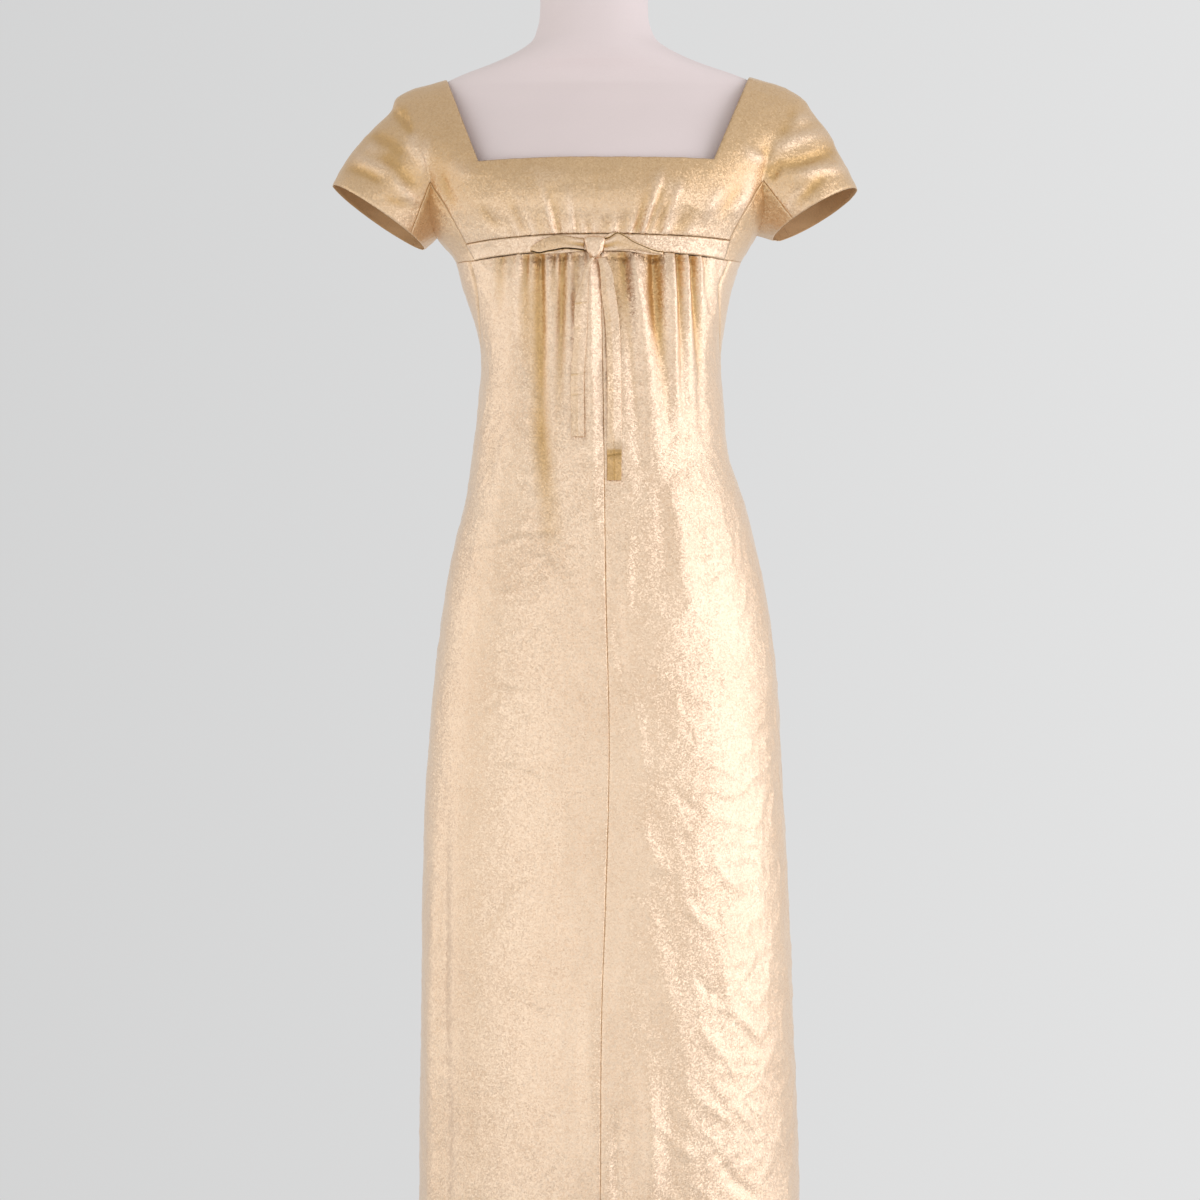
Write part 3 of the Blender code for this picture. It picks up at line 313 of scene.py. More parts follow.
# Finer tucks between the gathers, too small for the cut: below the cloth, or above it where negative
SKIRT_TUCKS = Table(
    GATHER_NAMES,
    (-116, -115, 30, 0.8, 2.2),
    (-104.5, -105, 50, 1, 2.2),
    (-92, -93.5, 35, 0.9, 2),
    (-80, -83, 45, -0.9, 2.4),
    (-69, -68, 60, -1.2, 3),
    (-58.5, -57, 340, 2, 5),
    (-52, -47, 220, -1.8, 5),
    (-40.5, -40, 100, -1.4, 2.6),
    (-37.5, -39, 260, 2, 3),
    (-29, -30, 200, -1.5, 3),
    (-20, -24, 160, 1.4, 3),
    (-8, -3, 440, -3.2, 5),
    (9, 16, 140, 1.2, 4),
    (22.5, 25, 150, 2.2, 5),
    (29, 48, 280, 2.4, 4.6),
    (41, 45, 50, 0.8, 2),
    (57, 79, 250, 4.2, 6.2),
    (66.5, 64, 80, 1.4, 2.4),
    (77.5, 86, 260, -1.8, 3.6),
    (83.2, 90, 280, 2.4, 3),
    (92.5, 101, 220, -1.6, 3.2),
    (99.5, 109, 240, 2.4, 3.6),
    (105, 113, 220, -1.6, 4),
    (109, 116, 80, 1.2, 2.6),
    (118, 122, 40, -0.8, 2.4),
)
BODICE_TUCKS = Table(
    GATHER_NAMES,
    (-89, -96, 22, 0.6, 2.2),
    (-80, -90, 26, -0.6, 2.4),
    (-65.5, -76, 34, -0.8, 2.6),
    (-47, -56, 46, 1, 2.2),
    (-42.5, -52, 42, -1.4, 2.4),
    (-34, -40, 24, -0.8, 2.2),
    (-28, -31, 26, -0.9, 2),
    (-18.5, -20, 18, 0.7, 1.8),
    (-13, -14, 24, -0.9, 2.2),
    (-3, -3, 20, -0.8, 2),
    (5, 6, 18, 0.6, 1.8),
    (16, 19, 24, -0.8, 2.2),
    (22, 26, 20, 0.7, 1.8),
    (33, 41, 30, -0.9, 2.4),
    (38.5, 50, 44, 1, 2.2),
    (48, 62, 40, -1.2, 2.6),
    (57, 72, 34, 0.8, 2.2),
    (70, 88, 40, -1.1, 2.8),
    (86, 101, 28, 0.7, 2.4),
    (-72, -86, 50, -1.2, 3),
    (-44.5, -60, 64, -2.2, 2.4),
    (-24, -30, 52, -1.8, 2.2),
    (45.5, 68, 70, -2.6, 2.6),
    (50, 74, 66, 1.8, 2.4),
    (67, 89, 64, -2.2, 2.4),
)

# Creases: a line from one place to another as seen from the front or back, its height above the cloth
# (below it where negative), its width, and how far it bows sideways
CREASE_NAMES = "across height end_across end_height rise width bow"
BODICE_CREASES = Table(
    CREASE_NAMES,
    (-203, 1372, -190, 1340, -1.8, 5, 2),
    (-212, 1372, -196, 1352, -1.8, 5, 1),
    (-236, 1345, -200, 1318, -1.8, 6, -3),
    (-252, 1322, -205, 1300, 1.6, 6, 3),
    (-262, 1310, -222, 1290, -1.6, 5, -2),
    (-228, 1330, -186, 1286, -1.8, 7, 2),
    (-240, 1330, -215, 1322, 1.4, 6, 1),
    (-210, 1300, -188, 1270, 1.4, 5, 2),
    (-218, 1275, -196, 1268, -1.2, 4, 1),
    (-190, 1345, -184, 1312, 1.6, 7, 2),
    (-176, 1336, -178, 1300, 1.4, 6, 0),
    (-160, 1300, -146, 1262, -1.2, 5, 2),
    (-150, 1310, -128, 1292, 0.9, 8, 2),
    (-120, 1262, -98, 1238, -1.2, 5, 2),
    (206, 1368, 190, 1340, -1.2, 6, -2),
    (222, 1362, 196, 1348, 1.4, 7, 2),
    (240, 1345, 180, 1322, 1.8, 7, 3),
    (250, 1330, 190, 1308, -2, 6, -3),
    (262, 1308, 205, 1296, 1.6, 6, 2),
    (236, 1300, 200, 1268, -1.6, 6, -2),
    (216, 1286, 196, 1262, 1.4, 5, 2),
    (190, 1312, 180, 1292, -2, 5, 1),
    (176, 1330, 174, 1298, -1.4, 6, 0),
    (150, 1322, 182, 1312, 1.6, 7, 3),
    (160, 1300, 140, 1250, 1.4, 7, -3),
    (150, 1285, 128, 1250, -1, 5, 2),
    (128, 1282, 112, 1246, 1, 6, 2),
    (60, 1292, 86, 1270, 0.7, 8, 2),
    (-70, 1296, -30, 1288, 0.5, 7, 2),
    (-0.5, 1300, -0.5, 1238, -0.4, 1.6, 0),
)
SKIRT_CREASES = Table(
    CREASE_NAMES,
    (-95, 1075, -110, 960, -1, 9, 4),
    (-60, 1050, -48, 900, -2, 10, -3),
    (-38, 980, -30, 880, -0.9, 8, 2),
    (79, 980, 98, 840, 2, 13, 4),
    (60, 990, 72, 880, -1.6, 10, -3),
    (100, 960, 112, 880, -1.2, 8, 2),
    (34, 930, 30, 840, 1.2, 6, 2),
    (22, 860, 30, 760, -1.2, 5, 3),
    (36, 760, 48, 680, 0.9, 7, -2),
    (-90, 929, -40, 930, -0.6, 3, 1),
    (-112, 864, -80, 868, 0.7, 2.5, 1),
    (-120, 808, -86, 810, -0.6, 3, -1),
    (-110, 770, -60, 764, 0.7, 4, 2),
    (10, 715, 70, 735, -0.6, 5, 3),
    (-86, 552, -132, 516, -1.4, 7, 3),
    (-60, 575, -100, 540, 1, 7, 2),
    (-30, 660, -34, 590, 0.8, 6, 2),
    (-155, 640, -158, 380, -2.4, 7, 2),
    (-157, 420, -158, 90, -2.4, 8, -2),
    (-168, 560, -172, 200, 1.4, 7, 2),
    (22, 345, 26, 200, -3, 7, 2),
    (20, 220, 30, 60, -2.6, 8, 2),
    (47, 400, 54, 240, 2, 9, -4),
    (44, 260, 56, 80, 2, 9, 3),
    (74, 380, 80, 250, -1.4, 10, 3),
    (-8, 470, -6, 320, 1.2, 7, 1),
    (60, 520, 85, 420, 1.3, 12, 4),
    (40, 640, 70, 580, 1.2, 8, 3),
    (115, 600, 150, 560, 1.2, 5, 3),
    (120, 520, 150, 410, 1.2, 7, 3),
    (100, 480, 128, 455, -1.2, 5, 4),
    (130, 440, 160, 400, -1.4, 5, -3),
    (104, 360, 140, 330, 1.2, 5, 4),
    (120, 300, 160, 250, -1.4, 6, 4),
    (90, 250, 120, 200, 1.3, 6, -3),
    (150, 700, 162, 500, -1, 8, 3),
    (-130, 905, -70, 925, 0.9, 3, 2),
    (-140, 740, -95, 762, -0.9, 4, 2),
    (-104, 690, -50, 672, 0.9, 4, -3),
    (-90, 470, -40, 446, 0.9, 5, 3),
    (-128, 352, -86, 366, -0.8, 4, 2),
    (40, 800, 85, 772, 0.9, 4, 3),
    (76, 668, 112, 640, -1.2, 4, 3),
    (30, 560, 62, 530, 1.1, 5, -3),
    (84, 560, 118, 524, 1.2, 5, 3),
    (104, 430, 138, 392, 1.2, 5, 4),
    (66, 330, 98, 296, 1.2, 5, 3),
    (126, 352, 158, 322, 1.2, 5, -3),
)
BACK_CREASES = Table(
    CREASE_NAMES,
    (-60, 1340, -30, 1250, -1.2, 10, 4),
    (70, 1330, 36, 1240, 1.2, 10, -4),
    (-196, 1366, -176, 1320, -1.6, 7, 2),
    (-240, 1338, -196, 1312, 1.6, 7, 3),
    (-222, 1300, -190, 1276, -1.5, 6, 2),
    (200, 1364, 180, 1318, -1.6, 7, -2),
    (246, 1330, 198, 1306, 1.6, 7, 3),
    (226, 1300, 192, 1272, -1.5, 6, -2),
    (-90, 1140, -20, 1128, -1.6, 6, 5),
    (-84, 1108, -24, 1100, 1.4, 7, 4),
    (94, 1130, 30, 1112, -1.6, 6, -5),
    (80, 1092, 28, 1082, 1.2, 7, -4),
    (-50, 1010, -80, 880, -1.4, 11, 4),
    (60, 1000, 84, 860, -1.4, 11, -4),
    (-110, 700, -124, 380, -2, 12, 4),
    (120, 720, 138, 360, -2, 12, -4),
    (-40, 560, -50, 250, 1.4, 12, 5),
    (46, 520, 60, 180, 1.4, 12, -5),
    (-80, 420, -40, 380, -0.9, 6, 3),
    (80, 330, 124, 290, -1, 6, 3),
)
CREASE_TIP = 0.02
CREASE_STOP = 4

# Crinkles of two sizes and slow waves: size, first seed, stretch of the way round or the height, share
CRINKLES = ((30 * MM, 11, 1, 1.4), (12 * MM, 16, 1.3, 0.6))
WAVES = {"size": 45 * MM, "seed": 20, "stretch": 0.5, "share": 1.8}
CRINKLE_SHIFT = 0.6
CRINKLE_SPREAD = 2.3
CRINKLE_SHARPNESS = 2.6
LATTICE = 256
STEEPEST = 1.4

# The cloth is more crinkled to the right, low down and at the back
WRINKLED = {"across": 0.03, "ease": 0.10, "top": 1.0, "fade": 0.35, "least": 0.70, "most": 1.30}
SIDE_EASE = 16 * MM
AROUND = 0.15
EDGE_TURN = 1.3 * MM
PUCKER = {"least": 0.5, "reach": 7 * MM}
LONGEST_STEP = 20 * MM

# Painted shade and highlight in the cloth's colour: the depth of fold for the full painted shade (a lift gives
# painted highlight), its limits, the painted shade at a seam or edge, and the painted shade of the gussets
PAINTED_SHADE_DEPTH = 5 * MM
PAINTED_SHADING_LIMITS = (-1, 0.9)
EDGE_PAINTED_SHADE = 0.38
GUSSET_PAINTED_SHADE = 0.2

# Painted light makes the cloth paler low down, and painted shade makes it deeper gold on the bust
PAINTED_LIGHT_LOW = {"top": 1.08, "fade": 0.75, "most": 0.85}
PAINTED_SHADE_BUST = {"start": 1.205, "fade": 0.10, "most": 0.60}

# Bow
BAND_RISE = 0.8 * MM
BOW_SEAT = 0.6 * MM
RIBBON = 0.0135
RIPPLE = 0.5 * MM
LOOP_RIPPLE = (9 * MM, 61)
TAIL_RIPPLE = (16 * MM, 65)
TAIL_SWAY = 0.02
SEAT_STEPS = 9
TAIL_STEPS = 7
RIBBON_EDGE = 1.1 * MM
KNOT = {
    "across": -0.0022,
    "height": 1.2172,
    "half_width": 14.4 * MM,
    "half_depth": 4.8 * MM,
    "half_height": 11.2 * MM,
    "taper": 0.74,
    "roundness": 0.66,
    "steepest": 84,
    "tiers": 41,
    "turns": 64,
    "crease": 0.9 * MM,
    "creases": 7,
    "crease_top": 0.5,
    "crease_fade": 1.4,
}
# Heights of the low and high edges of each loop's back and front layer, out from the knot
EDGE_NAMES = "across back_low back_high front_low front_high"
LOOP_EDGES = {
    "left": Table(
        EDGE_NAMES,
        (-66.2, 1213.5, 1218.5, 1214.8, 1219),
        (-60, 1211.5, 1222.5, 1212.8, 1223.2),
        (-50.5, 1211.2, 1226.2, 1214.2, 1227.4),
        (-40.8, 1211.2, 1228, 1215.6, 1229.6),
        (-35, 1211.6, 1228, 1216.6, 1229.3),
        (-20.4, 1213, 1226.2, 1216, 1226.8),
        (-13, 1213.4, 1225, 1215, 1226.2),
    ),
    "right": Table(
        EDGE_NAMES,
        (6.4, 1213.4, 1226.8, 1214, 1225),
        (13, 1213.4, 1231.6, 1213.8, 1227),
        (20.4, 1213.8, 1232.6, 1214.2, 1231.2),
        (27.2, 1213.6, 1230.8, 1214.8, 1228.6),
        (36.8, 1212.8, 1225, 1215, 1222.6),
        (46.6, 1211.2, 1221, 1214, 1218.4),
        (58.3, 1210.4, 1217.2, 1211.6, 1214),
        (66, 1210.6, 1215.6, 1211, 1212.8),
    ),
}
LOOP_OPEN = {"left": "low", "right": "high"}
LOOP_CUT = 2.1
LOOP_COLUMNS = 60
LOOP_TURNS = 15
LOOP_ROWS = 19
LOOP_RADIUS = 1.7 * MM
LOOP_PUFF = 0.9 * MM
LOOP_MOUTH = 1.3 * MM
LOOP_END_LIFT = 1.0 * MM
PINCH = 0.9 * MM
PINCHES = 9.7
PINCH_START = 0.6
PINCH_REACH = 0.24
# Painted shading of the loops: lighter and darker on the pinches, a painted highlight on the back layer and
# painted shade on the front one, and the width and darkness of the painted shadow along the open edge
PINCH_SHADING = 0.6
LOOP_LAYER_SHADING = 0.4
LOOP_SLIT_SHADOW_WIDTH = 1.3 * MM
LOOP_SLIT_SHADOW = 3.2

# Tails: the creases pressed down their middle and across them, and the painted shade and painted highlight of
# each
TAIL_ROWS = 220
TAIL_COLUMNS = 21
TAIL_CREASE = 0.4 * MM
TAIL_CREASE_WIDTH = 0.7 * MM
TAIL_CREASE_WANDER = (0.4 * MM, 60)
TAIL_CROSS_WIDTH = 1.2 * MM
TAIL_CROSS_SLANT = 0.12
TAIL_CURL = 0.2 * MM
TAIL_END = 1.0130
TAIL_PRESSED = {"left": 1.092, "right": 1.030}
TAIL_PRESSED_FADE = 8 * MM
TAIL_PAINTED_SHADE = {"left": 0.20, "right": 0.25}
TAIL_LIT = {"left": 0.35, "right": 1.0}
TAIL_LIT_HALF = 0.12
TAIL_LIT_FADE = 30 * MM
TAIL_END_SHADE = {"left": 0.0, "right": 0.65}
TAIL_END_FADE = 3 * MM
TAIL_CREASES = {
    "left": Table("height rise", (1159.8, 0.5), (1134.5, -0.2), (1087.7, 0.4), (1067.4, -0.3)),
    "right": Table("height rise", (1143, -0.15), (1072, 0.15), (1006, -0.4)),
}
TAIL_NAMES = "height across lift width turn"
TAIL_UNITS = (MM, MM, MM, MM, 1)
TAILS = {
    "left": Table(
        TAIL_NAMES,
        (1024.5, -19.2, 1.8, 13.2, -2),
        (1050, -19.4, 1.8, 13.4, -6),
        (1081.3, -19.8, 1.8, 13.8, 2),
        (1127, -16.6, 1.9, 13.4, 10),
        (1167.6, -14.6, 2.2, 12.4, 8),
        (1184, -11.8, 2.8, 7, 0),
        (1195.5, -9.7, 3.8, 5, 0),
        (1206.6, -4.2, 5, 4.6, 0),
        unit=TAIL_UNITS,
    ),
    "right": Table(
        TAIL_NAMES,
        (980, 17.4, 1.8, 15, -16),
        (1004, 17.6, 1.8, 15.2, -16),
        (1018, 17.6, 1.8, 15.2, 2),
        (1065, 17.9, 1.8, 15, 16),
        (1113, 16.9, 1.9, 14.8, 14),
        (1143, 15.3, 2, 14.6, 4),
        (1173.7, 11.2, 2.4, 14.4, -8),
        (1194, 9, 3.6, 12, 0),
        (1207, 4.8, 5, 8, 0),
        unit=TAIL_UNITS,
    ),
}

# Zip behind the centre-back seam
ZIP_TOP = 1.332
ZIP_BOTTOM = 0.930
ZIP_WIDTH = 16 * MM
ZIP_TAPE = 0.5 * MM
ZIP_CLEARANCE = 1.1 * MM
ZIP_TEETH = 0.8 * MM
ZIP_PITCH = 3.6 * MM
ZIP_ROWS = 900
ZIP_COLUMNS = 21
CLOTH = 1.5 * MM

# The form's half width, its reach to the front and back, and the shift of its middle
FORM = Table(
    "height half front back shift",
    (800, 138, 104, 86, 6),
    (806, 146, 111, 93, 6),
    (880, 148, 117, 100, 6),
    (960, 131, 114, 90, 4),
    (1050, 116, 104, 70, 2),
    (1120, 112, 96, 56.5, 2),
    (1170, 124, 96, 60, 1),
    (1215, 140, 101, 72, 0),
    (1240, 150, 108, 79, 0),
    (1272, 159, 116.5, 84, 0),
    (1311, 170, 101.5, 86.5, 0),
    (1345, 175, 79, 80, 0),
    (1372, 176.5, 60, 64, 0),
    (1388, 174.5, 51, 54, 1),
    (1396.5, 170, 46, 49, 2),
    (1404.2, 158, 45, 48, 2.5),
    (1412, 139, 46, 49, 1.5),
    (1420.5, 114, 50, 52, 0),
    (1431.5, 88, 53, 54, -1),
    (1443, 69, 54, 54, -2),
    (1460, 59.5, 53, 52, -3),
    (1485, 56.5, 53, 51, -3),
    (1515, 56, 53, 51, -3),
    (1522, 50, 47, 45, -3),
)
FORM_SQUARENESS = 2.2
FORM_LEVELS = 200
FORM_TURNS = 128

# Gold cloth: threads to the metre each way, what each pattern adds to its tone, how far the painted shade of
# the folds and the painted highlight of the crests reach, and the painted shadow colour in a slit
WARP = (900, 14, 1)
WEFT = (12, 800, 1)
FACET_TONE = 0.9
SLUB_TONE = 0.15
SLOW_TONE = 0.25
SHADE_MOST = 0.9
PAINTED_HIGHLIGHT_MOST = 0.8
SLIT_SHADOW_COLOUR = (0.05, 0.03, 0.02, 1)
COAT = {"reach": 1.5, "index": 1.9, "roughness": 0.4}

# The stretches of the patterns' values that the tones are spread over
SLUB_RANGE = (0.7, 1.3)
NOISE_RANGE = (0.35, 0.65)
FINE_RANGE = (0.3, 0.7)

# The floor ends before the camera sees it. Lights: size, place, height that they look at and colour
FLOOR_RADIUS = 1.15
FLOOR_DEPTH = 0.02
FLOOR_TURNS = 128
LIGHTS = {
    "key": ((4.0, 2.6), (3.0, -1.2, 1.1), 0.85, (0.98, 1.0, 1.14)),
    "fill": ((4.4, 2.8), (-1.8, -3.6, 0.3), 0.9, (0.99, 1.01, 1.08)),
    "side": ((2.0, 2.6), (-3.0, 0.1, 1.0), 0.9, (1.0, 0.99, 1.0)),
}
ROOM = {"edge": 0.2, "left": 0.94, "right": 1.1, "colour": (0.995, 0.998, 1.0, 1)}
SENSOR = 36


# Base surface


def joined(across, depth, height):
    """Points from their three coordinates, which are spread to one shape."""
    return np.stack(np.broadcast_arrays(across, depth, height), axis=-1)


def rounded(value, power):
    """A power that keeps its base's sign, which turns an ellipse into a superellipse."""
    return np.sign(value) * np.abs(value) ** power


def reach_of(height, facing):
    """The gown's reach from the middle plane, to the front for facing below 0, else to the back."""
    return np.where(facing < 0, GOWN.at(height, "front"), GOWN.at(height, "back"))


def middle_and_half(height):
    """The middle of a ring and its half width."""
    left = GOWN.at(height, "left")
    right = GOWN.at(height, "right")
    return (right - left) / 2, (right + left) / 2


def depth_at(across, height, facing, arch=1.0):
    """The base surface's y at a place seen from the front: a superellipse that the arch flattens."""
    middle, half = middle_and_half(height)
    share = np.clip(np.abs(across - middle) / half, 0, 1)
    bulge = (1 - share**SQUARENESS) ** (1 / SQUARENESS)
    return MIDDLE_Y + facing * reach_of(height, facing) * arch * bulge


def base_point(across, height, facing, arch=1.0):
    return joined(across, depth_at(across, height, facing, arch), height)


def ring_point(angle, height):
    """A point of the superellipse ring at a height. Its angle is 0 at centre front, above 0 to the right."""
    middle, half = middle_and_half(height)
    power = 2 / SQUARENESS
    cosine = np.cos(angle)
    depth = MIDDLE_Y - reach_of(height, -np.sign(cosine)) * rounded(cosine, power)
    return joined(middle + half * rounded(np.sin(angle), power), depth, height)


def angle_at(across, height, facing):
    """The ring angle, without its sign, of a place on the front or back of the base surface."""
    middle, half = middle_and_half(height)
    share = np.clip(np.abs(across - middle) / half, 0, 1)
    angle = np.arcsin(share ** (SQUARENESS / 2))
    return np.where(facing < 0, angle, math.pi - angle)


def arch_share(drop):
    """How far the cloth has come forward at a drop below the shoulder seam, along a quarter circle."""
    return np.sqrt(1 - (1 - np.clip(drop / ARCH_HEIGHT, 0, 1)) ** 2)


def band_end(side, edge):
    """How far out the band's top or bottom edge ends, at the front seam of the gusset."""
    return FRONT_SEAMS[side].at(SIDES[side]["band_end_" + edge], "out")


def gusset_end(side):
    """The ring angle of the far corner of the gusset's lower end."""
    place = SIDES[side]
    return angle_at(place["sign"] * band_end(side, "bottom"), place["band_end_bottom"], -1) + GUSSET_END


def seam_heights(side):
    """Heights of the rows from the gusset's tip to the end of the band's lower edge."""
    place = SIDES[side]
    bust = np.linspace(place["gusset_tip"][1], place["band_end_top"], BUST_ROWS + 1)
    band = np.linspace(place["band_end_top"], place["band_end_bottom"], BAND_ROWS + 1)
    return np.concatenate([bust, band[1:]])


def upper_shares(neck_drop):
    """Shares of the way from the shoulder seam to the gusset's tip, fine where the cloth arches over."""
    turn = np.linspace(0, 1, STRAP_ROWS + 1) * math.acos(1 - neck_drop / ARCH_HEIGHT)
    strap = (1 - np.cos(turn)) / (1 - math.cos(turn[-1]))
    return strap, np.linspace(0, 1, YOKE_ROWS + 1)[1:]


def corner_of(side, facing):
    return np.array(SIDES[side]["front_corner"] if facing < 0 else BACK_CORNER)


def armhole_line(side, facing):
    """The line where the sleeve leaves the body, straight as seen from the front, on the arched base."""
    place = SIDES[side]
    top = np.array(place["armhole_top"])
    tip = np.array(place["gusset_tip"])
    drop = place["strap_top"][1] - corner_of(side, facing)[1]
    strap, yoke = upper_shares(drop)
    share = drop / (top[1] - tip[1]) * ARMHOLE_EASE
    shares = np.concatenate([strap * share, mix(share, 1.0, yoke)])
    out, height = mix(top, tip, shares[:, None]).T
    return base_point(place["sign"] * out, height, facing, arch_share(top[1] - height))


def yoke_line(side, facing):
    """Where the line below the strap's inner edge crosses the row of the gusset's tip."""
    corner = corner_of(side, facing)
    height = mix(corner[1], SIDES[side]["gusset_tip"][1], YOKE_DIP)
    share = (corner[1] - height) / (corner[1] - BAND_TOP)
    return np.array([mix(corner[0], STRAP_LINE, share), height])


def strap_block(side, facing):
    """Rows from the shoulder seam to the gusset's tip, columns straight from the armhole to the neckline."""
    place = SIDES[side]
    outer = armhole_line(side, facing)[:, [0, 2]]
    top = np.array(place["strap_top"])
    corner = corner_of(side, facing)
    strap, yoke = upper_shares(top[1] - corner[1])
    down = yoke_line(side, facing)
    inner = np.concatenate([mix(top, corner, strap[:, None]), mix(corner, down, yoke[:, None])])
    inner = inner * (place["sign"], 1)
    flat = mix(outer[:, None], inner[:, None], np.linspace(0, 1, STRAP_COLUMNS + 1)[:, None])
    height = flat[..., 1]
    return base_point(flat[..., 0], height, facing, arch_share(height[:1] - height))


def drop_shares(line):
    """How far down each point of a line lies, from 0 at its first to 1 at its last."""
    return (line[:, 2:] - line[0, 2]) / (line[-1, 2] - line[0, 2])


def sleeve_block(side, facing):
    """Rows from the shoulder seam to the gusset's tip, columns from the cuff to the armhole.

    Seen from the front, each column runs straight from the sleeve's outline to its underarm seam.
    Its depth goes from the armhole's to a half ellipse at the cuff, leaving the body smoothly.
    """
    place = SIDES[side]
    inner = armhole_line(side, facing)
    along = np.linspace(1, 0, SLEEVE_COLUMNS + 1)
    cuff = cuff_point(side, facing, np.linspace(0, place["seam_angle"], len(inner)))
    tops = SLEEVE_TOPS[side]
    top = np.stack([place["sign"] * tops.at(along, "out"), tops.at(along, "height")], axis=-1)
    bottom = mix(inner[-1, [0, 2]], cuff[-1, [0, 2]], along[:, None])
    share_out = drop_shares(cuff)
    share = mix(drop_shares(inner), share_out, along)
    bow_out = cuff[:, [0, 2]] - mix(cuff[0, [0, 2]], cuff[-1, [0, 2]], share_out)
    flat = mix(top, bottom, share[:, :, None]) + bow_out[:, None] * along[:, None]
    start = inner[:, 1:2]
    end = cuff[:, 1:2]
    arch = arch_share(inner[0, 2] - inner[:, 2])
    nearby = depth_at(inner[:, 0] + place["sign"] * MM, inner[:, 2], facing, arch)
    steep = (nearby[:, None] - start) / MM * abs(cuff[-1, 0] - inner[0, 0])
    curve = hermite(start, end, steep, (end - start) * CUFF_LEVEL, along)
    ease = np.sin(np.linspace(0, math.pi, len(inner)))[:, None]
    return joined(flat[..., 0], mix(mix(start, end, along), curve, ease), flat[..., 1])


def cuff_point(side, facing, turn):
    """A point of the cuff, an ellipse from its tip (turn 0) round to its lowest point (turn 180)."""
    place = SIDES[side]
    tip = np.array(place["cuff_tip"]) * (place["sign"], 1)
    bottom = np.array(place["cuff_bottom"]) * (place["sign"], 1)
    chord = (bottom - tip) / np.linalg.norm(bottom - tip)
    outward = np.array([chord[1], -chord[0]]) * place["sign"]
    outward = outward * np.sign(-outward[1])
    swing = facing * np.sin(turn)
    flat = mix(tip, bottom, ((1 - np.cos(turn)) / 2)[..., None])
    flat = flat + place["cuff_tilt"] * swing[..., None] * outward
    return joined(flat[..., 0], MIDDLE_Y + CUFF_DEPTH * swing, flat[..., 1])


def band_edge(side, out, edge):
    """Height of the band's edge, which dips towards its ends with the square of the way out."""
    middle = BAND_TOP if edge == "top" else BAND_BOTTOM
    return middle + (SIDES[side]["band_end_" + edge] - middle) * (out / band_end(side, edge)) ** 2


def bust_block(side, shares):
    """Front rows from the neckline to the top of the band, columns from the strap's line to the middle."""
    at_yoke = yoke_line(side, -1)
    at_band = np.array([STRAP_LINE, band_edge(side, STRAP_LINE, "top")])
    yoke = np.linspace(0, 1, YOKE_ROWS + 1)[:, None]
    bust = np.linspace(0, 1, BUST_ROWS + 1)[1:, None]
    inner = np.concatenate([mix(corner_of(side, -1), at_yoke, yoke), mix(at_yoke, at_band, bust)])
    middle = np.concatenate([mix(NECK_FRONT, at_yoke[1], yoke), mix(at_yoke[1], BAND_TOP, bust)])
    across = SIDES[side]["sign"] * inner[:, :1] * shares
    return base_point(across, mix(middle, inner[:, 1:], shares**2), -1)


def bust_side_block(side):
    """Front rows below the gusset's tip, columns from the gusset's seam to the strap's line."""
    mirror = (SIDES[side]["sign"], 1)
    heights = seam_heights(side)[:BUST_ROWS + 1]
    outer = np.stack([FRONT_SEAMS[side].at(heights, "out"), heights], axis=-1)
    inner = bust_block(side, np.ones(1))[YOKE_ROWS:, 0][:, [0, 2]] * mirror
    flat = mix(outer[:, None], inner[:, None], np.linspace(0, 1, STRAP_COLUMNS + 1)[:, None]) * mirror
    level = band_edge(side, np.abs(flat[-1, :, 0]), "top")
    down = np.linspace(0, 1, BUST_ROWS + 1)[:, None]
    return base_point(flat[..., 0], flat[..., 1] + (level - flat[-1, :, 1]) * down, -1)


def front_grid():
    """The whole front bodice from the left cuff to the right cuff, with the places that stay empty."""
    rows = STRAP_ROWS + YOKE_ROWS + BUST_ROWS + 1
    tip_row = STRAP_ROWS + YOKE_ROWS
    strap_at = SLEEVE_COLUMNS
    inner_at = SLEEVE_COLUMNS + STRAP_COLUMNS
    half_columns = inner_at + FRONT_COLUMNS
    halves = {}
    for side in SIDES:
        half = np.zeros((rows, half_columns + 1, 3))
        half[:tip_row + 1, :strap_at + 1] = sleeve_block(side, -1)
        half[:tip_row + 1, strap_at:inner_at + 1] = strap_block(side, -1)
        half[tip_row:, strap_at:inner_at + 1] = bust_side_block(side)
        half[STRAP_ROWS:, inner_at:] = bust_block(side, np.linspace(1, 0, FRONT_COLUMNS + 1))
        halves[side] = half
    kept = np.zeros((rows - 1, half_columns), bool)
    kept[:tip_row, :inner_at] = True
    kept[STRAP_ROWS:, strap_at:] = True
    points = np.concatenate([halves["left"][:, :-1], halves["right"][:, ::-1]], axis=1)
    return points, np.concatenate([kept, kept[:, ::-1]], axis=1)


def band_grid():
    """The band between its two edges, on the same columns as the bodice's lower edge."""
    top = front_grid()[0][-1, SLEEVE_COLUMNS:-SLEEVE_COLUMNS]
    bottom = np.empty_like(top)
    for side, place in SIDES.items():
        here = np.sign(top[:, 0]) == place["sign"]
        top_end = band_end(side, "top")
        out = np.abs(top[here, 0])
        out = out * (1 + (band_end(side, "bottom") / top_end - 1) * (out / top_end) ** 3)
        bottom[here] = base_point(place["sign"] * out, band_edge(side, out, "bottom"), -1)
    bottom[top[:, 0] == 0] = base_point(0.0, BAND_BOTTOM, -1)
    flat = mix(top, bottom, np.linspace(0, 1, BAND_ROWS + 1)[:, None, None])
    return base_point(flat[..., 0], flat[..., 2], -1)


